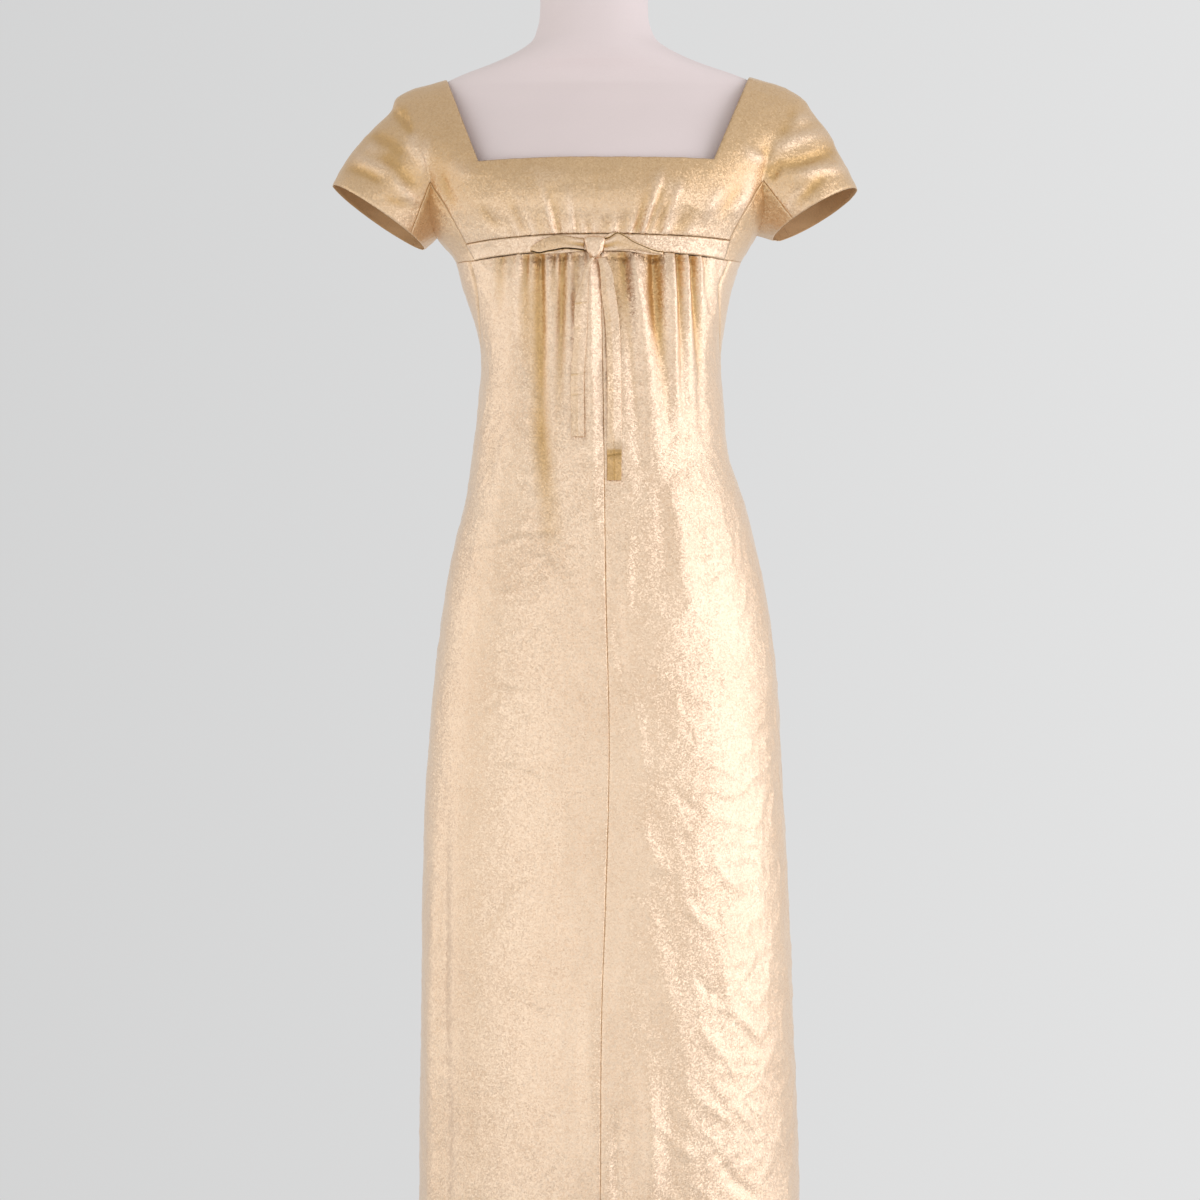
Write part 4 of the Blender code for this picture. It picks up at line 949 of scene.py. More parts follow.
def side_heights(side):
    """Heights of the rows at the side seam, which the skirt and the back share; they widen downwards."""
    shares = np.linspace(0, 1, SKIRT_ROWS + 1) ** SKIRT_ROW_EASE
    return mix(SIDES[side]["band_end_bottom"], HEM, shares), shares


def side_angle(side, height):
    """The side seam's angle; at the band it starts at the far corner of the gusset's end."""
    ease = smooth((SIDES[side]["band_end_bottom"] - height) / SIDE_SEAM_EASE)
    return mix(gusset_end(side), np.radians(SIDE_SEAM.at(height, "angle")), ease)


def seam_shares(count):
    """Shares from 0 to 1, even but for three close steps at each end for the turn into the seam."""
    close = np.array(CLOSE_STEPS) / count
    inner = np.linspace(close[-1], 1 - close[-1], count - 5)
    return np.concatenate([close[:-1], inner, 1 - close[-2::-1]])


def skirt_grid(side):
    """A front skirt panel: rows from the band to the hem, columns from the centre seam to the side."""
    heights, down = side_heights(side)
    centre = mix(BAND_BOTTOM, HEM, down)[:, None]
    seam = CENTRE_SEAM.at(centre, "across")
    seam_angle = angle_at(seam, centre, -1) * np.sign(seam - middle_and_half(centre)[0])
    side_turn = SIDES[side]["sign"] * side_angle(side, heights)[:, None]
    angles = mix(seam_angle, side_turn, seam_shares(SKIRT_COLUMNS))
    out = np.abs(ring_point(angles, centre)[..., 0])
    rise = np.clip(out / np.minimum(band_end(side, "bottom"), out[:, -1:]), 0, 1) ** 2
    return ring_point(angles, mix(centre, heights[:, None], rise))


def back_seam(side):
    """Angle and height of the gusset's back seam on each row from its tip to its lower end."""
    place = SIDES[side]
    tip_out, tip_height = place["gusset_tip"]
    rows = np.linspace(0, GUSSET_BACK.rows[-1, 0], BUST_ROWS + BAND_ROWS + 1)
    start = angle_at(place["sign"] * tip_out, tip_height, 1)
    angles = mix(start, gusset_end(side), GUSSET_BACK.at(rows, "turn"))
    return angles, mix(tip_height, place["band_end_bottom"], GUSSET_BACK.at(rows, "drop"))


def underarm_grid(side):
    """A gusset: rows from the cuff over the armpit's fold to its seams with the body, columns from
    front to back. Both seams with the body end in its lower corner, and both tips are single points."""
    place = SIDES[side]
    tip_height = place["gusset_tip"][1]
    front_rows = seam_heights(side)
    front = angle_at(place["sign"] * FRONT_SEAMS[side].at(front_rows, "out"), front_rows, -1)
    back, back_rows = back_seam(side)
    shares = np.linspace(0, 1, len(front) + len(back))
    dip = tip_height - place["armpit_height"]
    fold_heights = tip_height - dip * np.sin(math.pi * shares)
    fold_angles = mix(front[0], back[0], shares)
    fold = ring_point(place["sign"] * fold_angles, fold_heights)
    turns = mix(place["seam_angle"], 2 * math.pi - place["seam_angle"], shares)
    facing = np.where(turns < math.pi, -1, 1)
    cuff = cuff_point(side, facing, np.where(turns < math.pi, turns, 2 * math.pi - turns))
    sleeve = mix(fold, cuff, np.linspace(1, 0, SLEEVE_COLUMNS + 1)[:, None, None])
    edge_angles = np.concatenate([front, back[::-1]])
    edge_heights = np.concatenate([front_rows, back_rows[::-1]])
    down = np.linspace(0, 1, UNDERARM_ROWS + 1)[1:, None]
    angles = place["sign"] * mix(fold_angles, edge_angles, down)
    return np.concatenate([sleeve, ring_point(angles, mix(fold_heights, edge_heights, down))])


def back_grid(side):
    """A back panel: rows from the shoulder seam to the hem, columns from the cuff to centre back."""
    tip_row = STRAP_ROWS + YOKE_ROWS
    inner_at = SLEEVE_COLUMNS + STRAP_COLUMNS
    seam_angles, seam_rows = back_seam(side)
    lower = side_heights(side)[0][1:]
    outer_heights = np.concatenate([seam_rows[1:], lower])[:, None]
    outer_angles = np.concatenate([seam_angles[1:], side_angle(side, lower)])[:, None]
    even = np.linspace(seam_rows[0], seam_rows[-1], len(seam_rows))
    centre_heights = np.concatenate([even[1:], lower])[:, None]
    points = np.zeros((tip_row + 1 + len(outer_heights), inner_at + BACK_COLUMNS + 1, 3))
    points[:tip_row + 1, :SLEEVE_COLUMNS + 1] = sleeve_block(side, 1)
    points[:tip_row + 1, SLEEVE_COLUMNS:inner_at + 1] = strap_block(side, 1)
    edge = points[STRAP_ROWS:tip_row + 1, inner_at]
    across = mix(edge[:, :1], middle_and_half(edge[:, 2:])[0], seam_shares(BACK_COLUMNS))
    points[STRAP_ROWS:tip_row + 1, inner_at:] = base_point(across, edge[:, 2:], 1)
    tip = points[tip_row, SLEEVE_COLUMNS:]
    tip_angles = angle_at(tip[:, 0], tip[:, 2], 1)
    spread = (tip_angles - tip_angles[0]) / (tip_angles[-1] - tip_angles[0])
    angles = SIDES[side]["sign"] * mix(outer_angles, math.pi, spread)
    heights = mix(outer_heights, centre_heights, spread**BACK_RISE)
    points[tip_row + 1:, SLEEVE_COLUMNS:] = ring_point(angles, heights)
    keep = np.zeros((len(points) - 1, inner_at + BACK_COLUMNS), bool)
    keep[:tip_row, :inner_at] = True
    keep[STRAP_ROWS:, SLEEVE_COLUMNS:] = True
    return points, keep


# Folds and wrinkles


def gathers_at(gathers, across, away):
    """Depth of the gathers at a distance from the band: each is a bell curve across, which grows to
    twice its width along its length, while a power of what is left of the length fades it out."""
    depths = np.zeros(np.broadcast(across, away).shape)
    for start, end, length, depth, width in gathers.rows:
        share = np.clip(away / length, 0, 1)
        fade = (1 - share) ** GATHER_FADE * (1 + GATHER_HOLD * share)
        off = (across - mix(start, end, share)) / (width * (1 + share))
        depths += depth * fade * np.exp(-off**2)
    return depths * mix(PUCKER["least"], 1.0, smooth(away / PUCKER["reach"]))


def creases_at(creases, across, height):
    """Height of the creases at a place: each is a ridge or trough along a bowed line, round across it
    (a bell curve) and running out at both ends (the root of a half sine)."""
    heights = np.zeros(np.broadcast(across, height).shape)
    for x, z, end_x, end_z, rise, width, bow in creases.rows:
        run = np.array([end_x - x, end_z - z])
        length = np.linalg.norm(run)
        run = run / length
        along = ((across - x) * run[0] + (height - z) * run[1]) / length
        inside = np.clip(along, 0, 1)
        off = (across - x) * run[1] - (height - z) * run[0] - bow * np.sin(math.pi * inside)
        past = (along - inside) * length
        taper = np.sqrt(np.sin(math.pi * np.clip(inside, CREASE_TIP, 1 - CREASE_TIP)))
        heights += rise * taper * np.exp(-(off**2 + CREASE_STOP * past**2) / width**2)
    return heights


def hills(across, along, size, seed):
    """Smooth random hills about one size across, from -1 to 1: random slopes on a square lattice,
    joined between the lattice's points by an S-curve."""
    slopes = np.random.default_rng(seed).uniform(-STEEPEST, STEEPEST, (LATTICE, LATTICE, 2))
    column = np.floor(across / size).astype(int)
    row = np.floor(along / size).astype(int)
    right = across / size - column
    up = along / size - row
    weight_x, weight_y = (part**3 * (part * (6 * part - 15) + 10) for part in (right, up))
    total = 0.0
    for i in (0, 1):
        for j in (0, 1):
            slope = slopes[(column + i) % LATTICE, (row + j) % LATTICE]
            weight = (weight_x if i else 1 - weight_x) * (weight_y if j else 1 - weight_y)
            total = total + weight * (slope[..., 0] * (right - i) + slope[..., 1] * (up - j))
    return total


def crinkle(across, along, size, seed):
    """Sharp little ridges between flat places: 1 less the height of the hills, squared, along lines
    that other hills push aside."""
    shift = size * CRINKLE_SHIFT * hills(across, along, size * CRINKLE_SPREAD, seed + 1)
    height = np.abs(hills(across + shift, along - shift, size, seed))
    return (1 - np.clip(height * CRINKLE_SHARPNESS, 0, 1)) ** 2


def skirt_lift(points, gather_share=1.0):
    """How far the front skirt stands out under the band, fading to nothing at the side seams: a
    swell that decays exponentially downwards, plus the ridges, less the troughs."""
    across = points[..., 0]
    drop = np.clip(BAND_BOTTOM - points[..., 2], 0, None)
    swell = SWELL * np.clip(drop / SWELL_START, 0, 1) * np.exp(-drop / SWELL_LENGTH)
    ridges = gathers_at(SKIRT_RIDGES, across, drop) * np.clip(drop / RIDGE_START, 0, 1)
    side = np.clip((GATHERED_HALF - np.abs(across)) / GATHER_EASE, 0, 1)
    troughs = gathers_at(SKIRT_TROUGHS, across, drop) + gathers_at(SKIRT_TUCKS, across, drop)
    return (swell + ridges - gather_share * troughs) * side * (points[..., 1] < MIDDLE_Y)


def bodice_lift(points, gather_share=1.0):
    """Short gathers of the front bodice just above the band."""
    across = points[..., 0]
    rise = np.clip(points[..., 2] - BAND_TOP, 0, None)
    troughs = gathers_at(BODICE_TROUGHS, across, rise) + gathers_at(BODICE_TUCKS, across, rise)
    return -gather_share * troughs * (points[..., 1] < MIDDLE_Y)


def front_face(across, height):
    """The y of the gown's outer face at the front: bodice, band or skirt."""
    points = base_point(across, height, -1)
    below = points[..., 2] < BAND_BOTTOM
    return points[..., 1] - np.where(below, np.maximum(skirt_lift(points), 0), BAND_RISE)


# Panels and their normals


def grid_quads(points, keep=None):
    """Corner numbers of every kept square of a grid, as whole arrays."""
    rows, columns = points.shape[:2]
    numbers = np.arange(rows * columns).reshape(rows, columns)
    quads = np.stack([numbers[1:, :-1], numbers[1:, 1:], numbers[:-1, 1:], numbers[:-1, :-1]], axis=-1)
    return quads.reshape(-1, 4) if keep is None else quads[keep]


def corner_normals(points, quads):
    """Each face's normal, the cross product of its diagonals, added up at its corners."""
    flat = points.reshape(-1, 3)
    a, b, c, d = (flat[quads[:, k]] for k in range(4))
    face = np.cross(c - a, d - b)
    normals = np.zeros_like(flat)
    for k in range(4):
        np.add.at(normals, quads[:, k], face)
    return normals


@cache
def panels():
    """The base grids of all panels by name: points, faces and the normals that neighbours share.

    Points in one place, within 10 micrometres, have their normals added up, and the sum is given
    length 1. Close to the band the normals of the front are turned level.
    """
    grids = {"front_bodice": front_grid(), "front_band": (band_grid(), None)}
    for side in SIDES:
        grids["front_skirt_" + side] = (skirt_grid(side), None)
        grids["back_" + side] = back_grid(side)
        grids["gusset_" + side] = (underarm_grid(side), None)
    made = {}
    for name, (points, keep) in grids.items():
        quads = grid_quads(points, keep)
        normals = corner_normals(points, quads)
        outward = points.reshape(-1, 3) - (0, MIDDLE_Y, 0)
        if (normals * outward)[:, :2].sum() < 0:
            quads = quads[:, ::-1]
            normals = -normals
        made[name] = [points, quads, normals]
    places = np.concatenate([points.reshape(-1, 3) for points, _, _ in made.values()])
    normals = np.concatenate([normals for _, _, normals in made.values()])
    _, same = np.unique(np.round(places / (0.01 * MM)).astype(int), axis=0, return_inverse=True)
    same = same.ravel()
    summed = np.stack([np.bincount(same, normals[:, k]) for k in range(3)], axis=1)[same]
    from_band = np.abs(places[:, 2] - (BAND_TOP + BAND_BOTTOM) / 2)
    level = np.clip(from_band / LEVEL_HEIGHT - LEVEL_START, 0, 1)
    summed[:, 2] *= np.where(places[:, 1] < FRONT_ONLY, level, 1)
    summed /= np.maximum(np.linalg.norm(summed, axis=1), 1e-12)[:, None]
    ends = np.cumsum([points.size // 3 for points, _, _ in made.values()])[:-1]
    for entry, shared in zip(made.values(), np.split(summed, ends)):
        entry[2] = shared.reshape(entry[0].shape)
    return made


def cloth_lengths(points):
    """Distance along the cloth across the columns and down the rows, in metres, for its weave."""
    ways = []
    for axis in (1, 0):
        steps = np.minimum(np.linalg.norm(np.diff(points, axis=axis), axis=2), LONGEST_STEP)
        start = np.zeros_like(steps.take([0], axis=axis))
        ways.append(np.concatenate([start, np.cumsum(steps, axis=axis)], axis=axis))
    return np.stack(ways, axis=-1)


def add_mesh(name, points, faces, lengths=None, folds=None):
    """A mesh object at the origin from arrays, smooth shaded and without spare points. Lengths are its
    "cloth" UV map, and folds its attribute of painted shade (above 0) and painted highlight
    (below 0) for each point, mostly from how deep it lies in a fold."""
    flat = points.reshape(-1, 3)
    used, index = np.unique(faces.ravel(), return_inverse=True)
    mesh = bpy.data.meshes.new(name)
    mesh.vertices.add(len(used))
    mesh.vertices.foreach_set("co", flat[used].astype(np.float32).ravel())
    mesh.loops.add(faces.size)
    mesh.loops.foreach_set("vertex_index", index.astype(np.int32).ravel())
    mesh.polygons.add(len(faces))
    mesh.polygons.foreach_set("loop_start", np.arange(0, faces.size, faces.shape[1], dtype=np.int32))
    if lengths is not None:
        layer = mesh.uv_layers.new(name="cloth")
        layer.data.foreach_set("uv", lengths.reshape(-1, 2)[faces.ravel()].astype(np.float32).ravel())
    if folds is not None:
        depth = np.broadcast_to(folds, points.shape[:2]).ravel()[used]
        mesh.attributes.new("folds", "FLOAT", "POINT").data.foreach_set("value", depth.astype(np.float32))
    mesh.update(calc_edges=True)
    mesh.validate()
    mesh.shade_smooth()
    item = bpy.data.objects.new(name, mesh)
    bpy.context.scene.collection.objects.link(item)
    return item


def solidify(item, thickness, outer, inner):
    """Gives a shell its wall, inwards, with the outer look outside and on the rim, the inner look inside."""
    item.data.materials.append(outer)
    item.data.materials.append(inner)
    wall = item.modifiers.new("Wall", "SOLIDIFY")
    wall.thickness = thickness
    wall.offset = -1
    wall.material_offset = 1
    wall.material_offset_rim = 0


def closed_rings(name, rings, look):
    """A closed surface through rings from low to high, each end closed by a fan of squares to its
    middle, with its points in one place welded and its faces turned outwards."""
    ends = []
    for end in (rings[:1], rings[-1:]):
        middle = np.broadcast_to(end.mean(axis=1, keepdims=True), end.shape)
        ends.append(mix(end, middle, np.linspace(0, 1, 5)[1:, None, None]))
    stack = np.concatenate([ends[0][::-1], rings, ends[1]])
    stack = np.concatenate([stack, stack[:, :1]], axis=1)
    item = add_mesh(name, stack, grid_quads(stack)[:, ::-1])
    shape = bmesh.new()
    shape.from_mesh(item.data)
    bmesh.ops.remove_doubles(shape, verts=shape.verts, dist=0.001 * MM)
    bmesh.ops.recalc_face_normals(shape, faces=shape.faces)
    shape.to_mesh(item.data)
    shape.free()
    item.data.shade_smooth()
    item.data.materials.append(look)
    return item


# Materials


class Nodes:
    """The node tree of a material or the world, with one short call for each node."""

    def __init__(self, owner, surface="Principled BSDF"):
        owner.use_nodes = True
        self.owner = owner
        self.tree = owner.node_tree
        self.surface = self.tree.nodes[surface]
        self.places = self.add("ShaderNodeTexCoord").outputs

    def add(self, kind, values=(), **settings):
        """Adds a node; values are (socket, number or output) pairs."""
        node = self.tree.nodes.new(kind)
        for name, value in settings.items():
            setattr(node, name, value)
        for socket, value in values:
            self.put(node.inputs[socket], value)
        return node

    def put(self, socket, value):
        if isinstance(value, bpy.types.NodeSocket):
            self.tree.links.new(value, socket)
        else:
            socket.default_value = value

    def noise(self, scale, detail, place=None):
        place = self.places["Object"] if place is None else place
        values = [("Vector", place), ("Scale", scale), ("Detail", detail)]
        return self.add("ShaderNodeTexNoise", values).outputs["Fac"]

    def math(self, operation, first, second):
        return self.add("ShaderNodeMath", [(0, first), (1, second)], operation=operation).outputs[0]

    def vector(self, operation, first, second=(0, 0, 0), socket=1):
        values = [(0, first), (socket, second)]
        return self.add("ShaderNodeVectorMath", values, operation=operation).outputs[0]

    def ramp(self, share, low, high, start=0, end=1):
        """Maps a share between low and high onto start to end, held at both."""
        values = [("Value", share), ("From Min", low), ("From Max", high), ("To Min", start), ("To Max", end)]
        return self.add("ShaderNodeMapRange", values).outputs["Result"]

    def blend(self, share, first, second):
        """Blends two colours."""
        values = [(0, share), (6, first), (7, second)]
        return self.add("ShaderNodeMix", values, data_type="RGBA").outputs[2]

    def bump(self, height, strength, distance):
        values = [("Height", height), ("Strength", strength), ("Distance", distance)]
        return self.add("ShaderNodeBump", values).outputs["Normal"]

    def finish(self, values):
        """Sets the surface's sockets by their names, and returns the tree's owner."""
        for name, value in values.items():
            self.put(self.surface.inputs[name], value)
        return self.owner


def shaded(colour, factor=1):
    """A colour made darker or lighter by a factor."""
    return (colour[0] * factor, colour[1] * factor, colour[2] * factor, 1)


def gold_cloth(nodes, looks):
    """Cloth woven with flat metal thread: metal in many tiny facets, each with a tilt and a tone of its
    own, with faint slubs along both threads and slow changes of tone. Its colour follows the painted
    shading: below 0 towards a painted highlight, from 0 to 1 towards painted shade, and past 1 to the
    painted shadow of a slit. Its coat fades where the painted shade is deep."""
    values = [("Vector", nodes.places["Object"]), ("Scale", 1 / looks.sparkle_size)]
    cells = nodes.add("ShaderNodeTexVoronoi", values).outputs["Color"]
    facet = nodes.add("ShaderNodeSeparateColor", [("Color", cells)]).outputs
    threads = []
    for scale in (WARP, WEFT):
        thread = nodes.add("ShaderNodeMapping", [("Vector", nodes.places["UV"]), ("Scale", scale)])
        threads.append(nodes.noise(1, 1, thread.outputs[0]))
    slubs = nodes.math("ADD", *threads)
    tone = nodes.math("MULTIPLY", facet[0], FACET_TONE)
    tone = nodes.math("ADD", tone, nodes.ramp(slubs, *SLUB_RANGE, 0, SLUB_TONE))
    tone = nodes.math("ADD", tone, nodes.ramp(nodes.noise(14, 3), *NOISE_RANGE, 0, SLOW_TONE))
    # The painted shading: painted shade in the folds, along the edges and on the bust, painted highlight on the
    # crests and low down
    folds = nodes.add("ShaderNodeAttribute", attribute_name="folds").outputs["Fac"]
    colour = nodes.blend(tone, shaded(looks.gold_deep), shaded(looks.gold_light))
    colour = nodes.blend(nodes.ramp(folds, 0, 1, 0, SHADE_MOST), colour, shaded(looks.gold_shade))
    colour = nodes.blend(nodes.ramp(folds, 0, -1, 0, PAINTED_HIGHLIGHT_MOST), colour, shaded(looks.gold_painted_highlight))
    spread = nodes.vector("SUBTRACT", cells, (0.5, 0.5, 0.5))
    tilt = nodes.vector("SCALE", spread, looks.sparkle, "Scale")
    tilted = nodes.vector("ADD", nodes.bump(slubs, 0.5, 0.1 * MM), tilt)
    return nodes.finish({
        # Past 1 the painted shading turns to the painted shadow of a slit
        "Base Color": nodes.blend(nodes.ramp(folds, 1, 2), colour, SLIT_SHADOW_COLOUR),
        "Metallic": looks.metal,
        "Roughness": nodes.ramp(facet[1], 0, 1, looks.gloss_low, looks.gloss_high),
        # Less coat where the painted shade is deep, so the folds reflect less white
        "Coat Weight": nodes.ramp(folds, 0, COAT["reach"], 1, 0),
        "Coat IOR": COAT["index"],
        "Coat Roughness": COAT["roughness"],
        "Normal": nodes.vector("NORMALIZE", tilted),
    })


def reverse_cloth(nodes, looks):
    """The duller wrong side of the gold cloth: its ground threads with little metal."""
    grain = nodes.noise(900, 1)
    share = nodes.ramp(grain, *FINE_RANGE)
    return nodes.finish({
        "Base Color": nodes.blend(share, shaded(looks.reverse, 0.85), shaded(looks.reverse)),
        "Metallic": 0.25,
        "Roughness": 0.7,
        "Normal": nodes.bump(grain, 0.3, 0.2 * MM),
    })


def knitted_cover(nodes, looks):
    """The form's matt knitted cover: tiny stitches and a slight unevenness."""
    stitches = nodes.noise(1400, 1)
    tones = [nodes.ramp(pattern, *NOISE_RANGE, 0, 0.5) for pattern in (stitches, nodes.noise(9, 3))]
    return nodes.finish({
        "Base Color": nodes.blend(nodes.math("ADD", *tones), shaded(looks.cover, 0.95), shaded(looks.cover)),
        "Roughness": 0.88,
        "Specular IOR Level": 0.25,
        "Sheen Weight": 0.15,
        "Normal": nodes.bump(stitches, 0.25, 0.15 * MM),
    })


def powder_coat(nodes, looks):
    """Black powder coat on the stand: a fine orange-peel skin."""
    skin = nodes.noise(700, 2)
    return nodes.finish({
        "Base Color": nodes.blend(nodes.ramp(skin, *FINE_RANGE), shaded(looks.stand), shaded(looks.stand, 1.6)),
        "Metallic": 0.2,
        "Roughness": nodes.ramp(skin, *FINE_RANGE, 0.38, 0.5),
        "Normal": nodes.bump(skin, 0.2, 0.2 * MM),
    })


def twill_tape(nodes, looks):
    """Matt twill tape in a gold that matches the cloth."""
    values = [("Vector", nodes.places["Object"]), ("Scale", 260), ("Distortion", 1)]
    twill = nodes.add("ShaderNodeTexWave", values).outputs["Fac"]
    return nodes.finish({
        "Base Color": nodes.blend(twill, shaded(looks.tape, 0.8), shaded(looks.tape)),
        "Roughness": 0.8,
        "Normal": nodes.bump(twill, 0.3, 0.1 * MM),
    })


def studio_paint(nodes, looks):
    """The pale cool grey of the floor."""
    slow = nodes.ramp(nodes.noise(1.5, 3), *NOISE_RANGE)
    return nodes.finish({
        "Base Color": nodes.blend(slow, shaded(looks.backdrop, 0.99), shaded(looks.backdrop)),
        "Roughness": 0.95,
        "Specular IOR Level": 0.1,
    })


MATERIALS = {
    "lame_cloth": gold_cloth,
    "lame_reverse": reverse_cloth,
    "knitted_cover": knitted_cover,
    "powder_coat": powder_coat,
    "twill_tape": twill_tape,
    "studio_paint": studio_paint,
}


def material(name, scene):
    """The named material, made when it is first asked for."""
    made = bpy.data.materials.get(name)
    return made or MATERIALS[name](Nodes(bpy.data.materials.new(name)), scene.gown_looks)


# Settings


class GownSizes(bpy.types.PropertyGroup):
    thickness: bpy.props.FloatProperty(
        name="Cloth thickness", description="Thickness of the gown's cloth",
        default=0.7 * MM, min=0.2 * MM, max=3 * MM, subtype="DISTANCE", unit="LENGTH")
    gathers: bpy.props.FloatProperty(
        name="Gathers", description="Depth of the gathers, as a share of the cut's",
        default=1.6, min=0, max=3, subtype="FACTOR")
    creases: bpy.props.FloatProperty(
        name="Creases", description="Depth of the creases placed by hand, as a share",
        default=1.4, min=0, max=3, subtype="FACTOR")
    crinkle: bpy.props.FloatProperty(
        name="Crinkle", description="Height of the fine crinkles of the cloth",
        default=0.6 * MM, min=0, max=2 * MM, subtype="DISTANCE", unit="LENGTH")
    seam_dip: bpy.props.FloatProperty(
        name="Seam dip", description="How deep the cloth turns in at a seam",
        default=0.4 * MM, min=0, max=2 * MM, subtype="DISTANCE", unit="LENGTH")


class GownLooks(bpy.types.PropertyGroup):
    gold_light: bpy.props.FloatVectorProperty(
        name="Light gold", description="Colour of the metal thread in full light",
        default=(0.92, 0.69, 0.47), min=0, max=1, subtype="COLOR")
    gold_deep: bpy.props.FloatVectorProperty(
        name="Deep gold", description="Colour between the metal threads",
        default=(0.74, 0.49, 0.29), min=0, max=1, subtype="COLOR")
    # Painted shade: the colour that the folds are painted towards
    gold_shade: bpy.props.FloatVectorProperty(
        name="Shaded gold", description="Colour deep in the folds, where the cloth reflects itself",
        default=(0.60, 0.35, 0.10), min=0, max=1, subtype="COLOR")
    # Painted highlight: the colour that the crests are painted towards
    gold_painted_highlight: bpy.props.FloatVectorProperty(
        name="Crest gold", description="Colour of the crests between the folds",
        default=(1.0, 0.88, 0.75), min=0, max=1, subtype="COLOR")
    reverse: bpy.props.FloatVectorProperty(
        name="Reverse", description="Colour of the cloth's wrong side",
        default=(0.56, 0.33, 0.15), min=0, max=1, subtype="COLOR")
    metal: bpy.props.FloatProperty(
        name="Metal", description="How metallic the thread is",
        default=0.9, min=0, max=1, subtype="FACTOR")
    gloss_low: bpy.props.FloatProperty(
        name="Lowest roughness", description="Roughness of the glossiest threads",
        default=0.38, min=0, max=1, subtype="FACTOR")
    gloss_high: bpy.props.FloatProperty(
        name="Highest roughness", description="Roughness of the dullest threads",
        default=0.52, min=0, max=1, subtype="FACTOR")
    sparkle: bpy.props.FloatProperty(
        name="Sparkle", description="How much the tiny facets tilt",
        default=0.42, min=0, max=1, subtype="FACTOR")
    sparkle_size: bpy.props.FloatProperty(
        name="Sparkle size", description="Width of one facet",
        default=1.2 * MM, min=0.2 * MM, max=5 * MM, subtype="DISTANCE", unit="LENGTH")
    cover: bpy.props.FloatVectorProperty(
        name="Cover", description="Colour of the form's knitted cover",
        default=(0.81, 0.70, 0.675), min=0, max=1, subtype="COLOR")
    stand: bpy.props.FloatVectorProperty(
        name="Stand", description="Colour of the stand's powder coat",
        default=(0.02, 0.02, 0.022), min=0, max=1, subtype="COLOR")
    tape: bpy.props.FloatVectorProperty(
        name="Zip tape", description="Colour of the zip's tape",
        default=(0.42, 0.31, 0.18), min=0, max=1, subtype="COLOR")
    backdrop: bpy.props.FloatVectorProperty(
        name="Backdrop", description="Colour of the floor",
        default=(0.80, 0.815, 0.835), min=0, max=1, subtype="COLOR")


class GownStudio(bpy.types.PropertyGroup):
    distance: bpy.props.FloatProperty(
        name="Camera distance", description="From the camera to the gown's middle plane",
        default=3.3, min=1, max=10, subtype="DISTANCE", unit="LENGTH")
    across: bpy.props.FloatProperty(
        name="Camera across", description="Place of the camera to the side",
        default=0.00315, subtype="DISTANCE", unit="LENGTH")
    height: bpy.props.FloatProperty(
        name="Camera height", description="Height of the camera",
        default=0.859, subtype="DISTANCE", unit="LENGTH")
    view_width: bpy.props.FloatProperty(
        name="Width of view", description="Width that the frame shows at the middle plane",
        default=1.26, min=0.1, max=5, subtype="DISTANCE", unit="LENGTH")
    key: bpy.props.FloatProperty(
        name="Key light", description="Power of the soft light from the right",
        default=41.0, min=0, unit="POWER")
    fill: bpy.props.FloatProperty(
        name="Fill light", description="Power of the soft light from the front",
        default=29.0, min=0, unit="POWER")
    side: bpy.props.FloatProperty(
        name="Side light", description="Power of the weak light from the left",
        default=11.0, min=0, unit="POWER")
    room: bpy.props.FloatProperty(
        name="Room light", description="Strength of the even light of the room",
        default=0.70, min=0)


# Pieces


def edge_share(points, quads, width):
    """1 on a panel's edges, falling to 0 by a straight line at a distance from them.

    The distance is passed on from each point to its four neighbours a few times.
    """
    corners = np.bincount(quads.ravel(), minlength=points.size // 3).reshape(points.shape[:2])
    away = np.where((corners > 0) & (corners < 4), 0.0, 1.0)
    for axis in (0, 1, 0, 1, 0, 1):
        step = np.linalg.norm(np.diff(points, axis=axis), axis=2)
        ahead = away[1:] if axis == 0 else away[:, 1:]
        behind = away[:-1] if axis == 0 else away[:, :-1]
        np.minimum(ahead, behind + step, out=ahead)
        np.minimum(behind, ahead + step, out=behind)
    return np.clip(1 - away / width, 0, 1)


def cloth_relief(points, sizes):
    """The listed creases, then crinkles of two sizes and slow waves, as lift along the normals.

    All of it depends on the place alone, so panels that meet at a seam are lifted alike there. The
    crinkles follow the way round the gown and its height, so they don't stretch at the sides.
    """
    across, depth, height = np.moveaxis(points, -1, 0)
    front = smooth((MIDDLE_Y - depth) / SIDE_EASE + 0.5)
    placed = sum(front * creases_at(table, across, height) for table in (BODICE_CREASES, SKIRT_CREASES))
    placed = placed + (1 - front) * creases_at(BACK_CREASES, across, height)
    around = np.arctan2(across, MIDDLE_Y - depth) * AROUND
    sharp = sum(
        share * crinkle(around * stretch, height, size, seed) for size, seed, stretch, share in CRINKLES)
    waves = WAVES["share"] * hills(around, height * WAVES["stretch"], WAVES["size"], WAVES["seed"])
    right = smooth((across - WRINKLED["across"]) / WRINKLED["ease"])
    low = smooth((WRINKLED["top"] - height) / WRINKLED["fade"])
    strength = mix(WRINKLED["least"], WRINKLED["most"], np.maximum(right * low, 1 - front))
    return sizes.creases * placed, sizes.crinkle * (strength * sharp + waves)


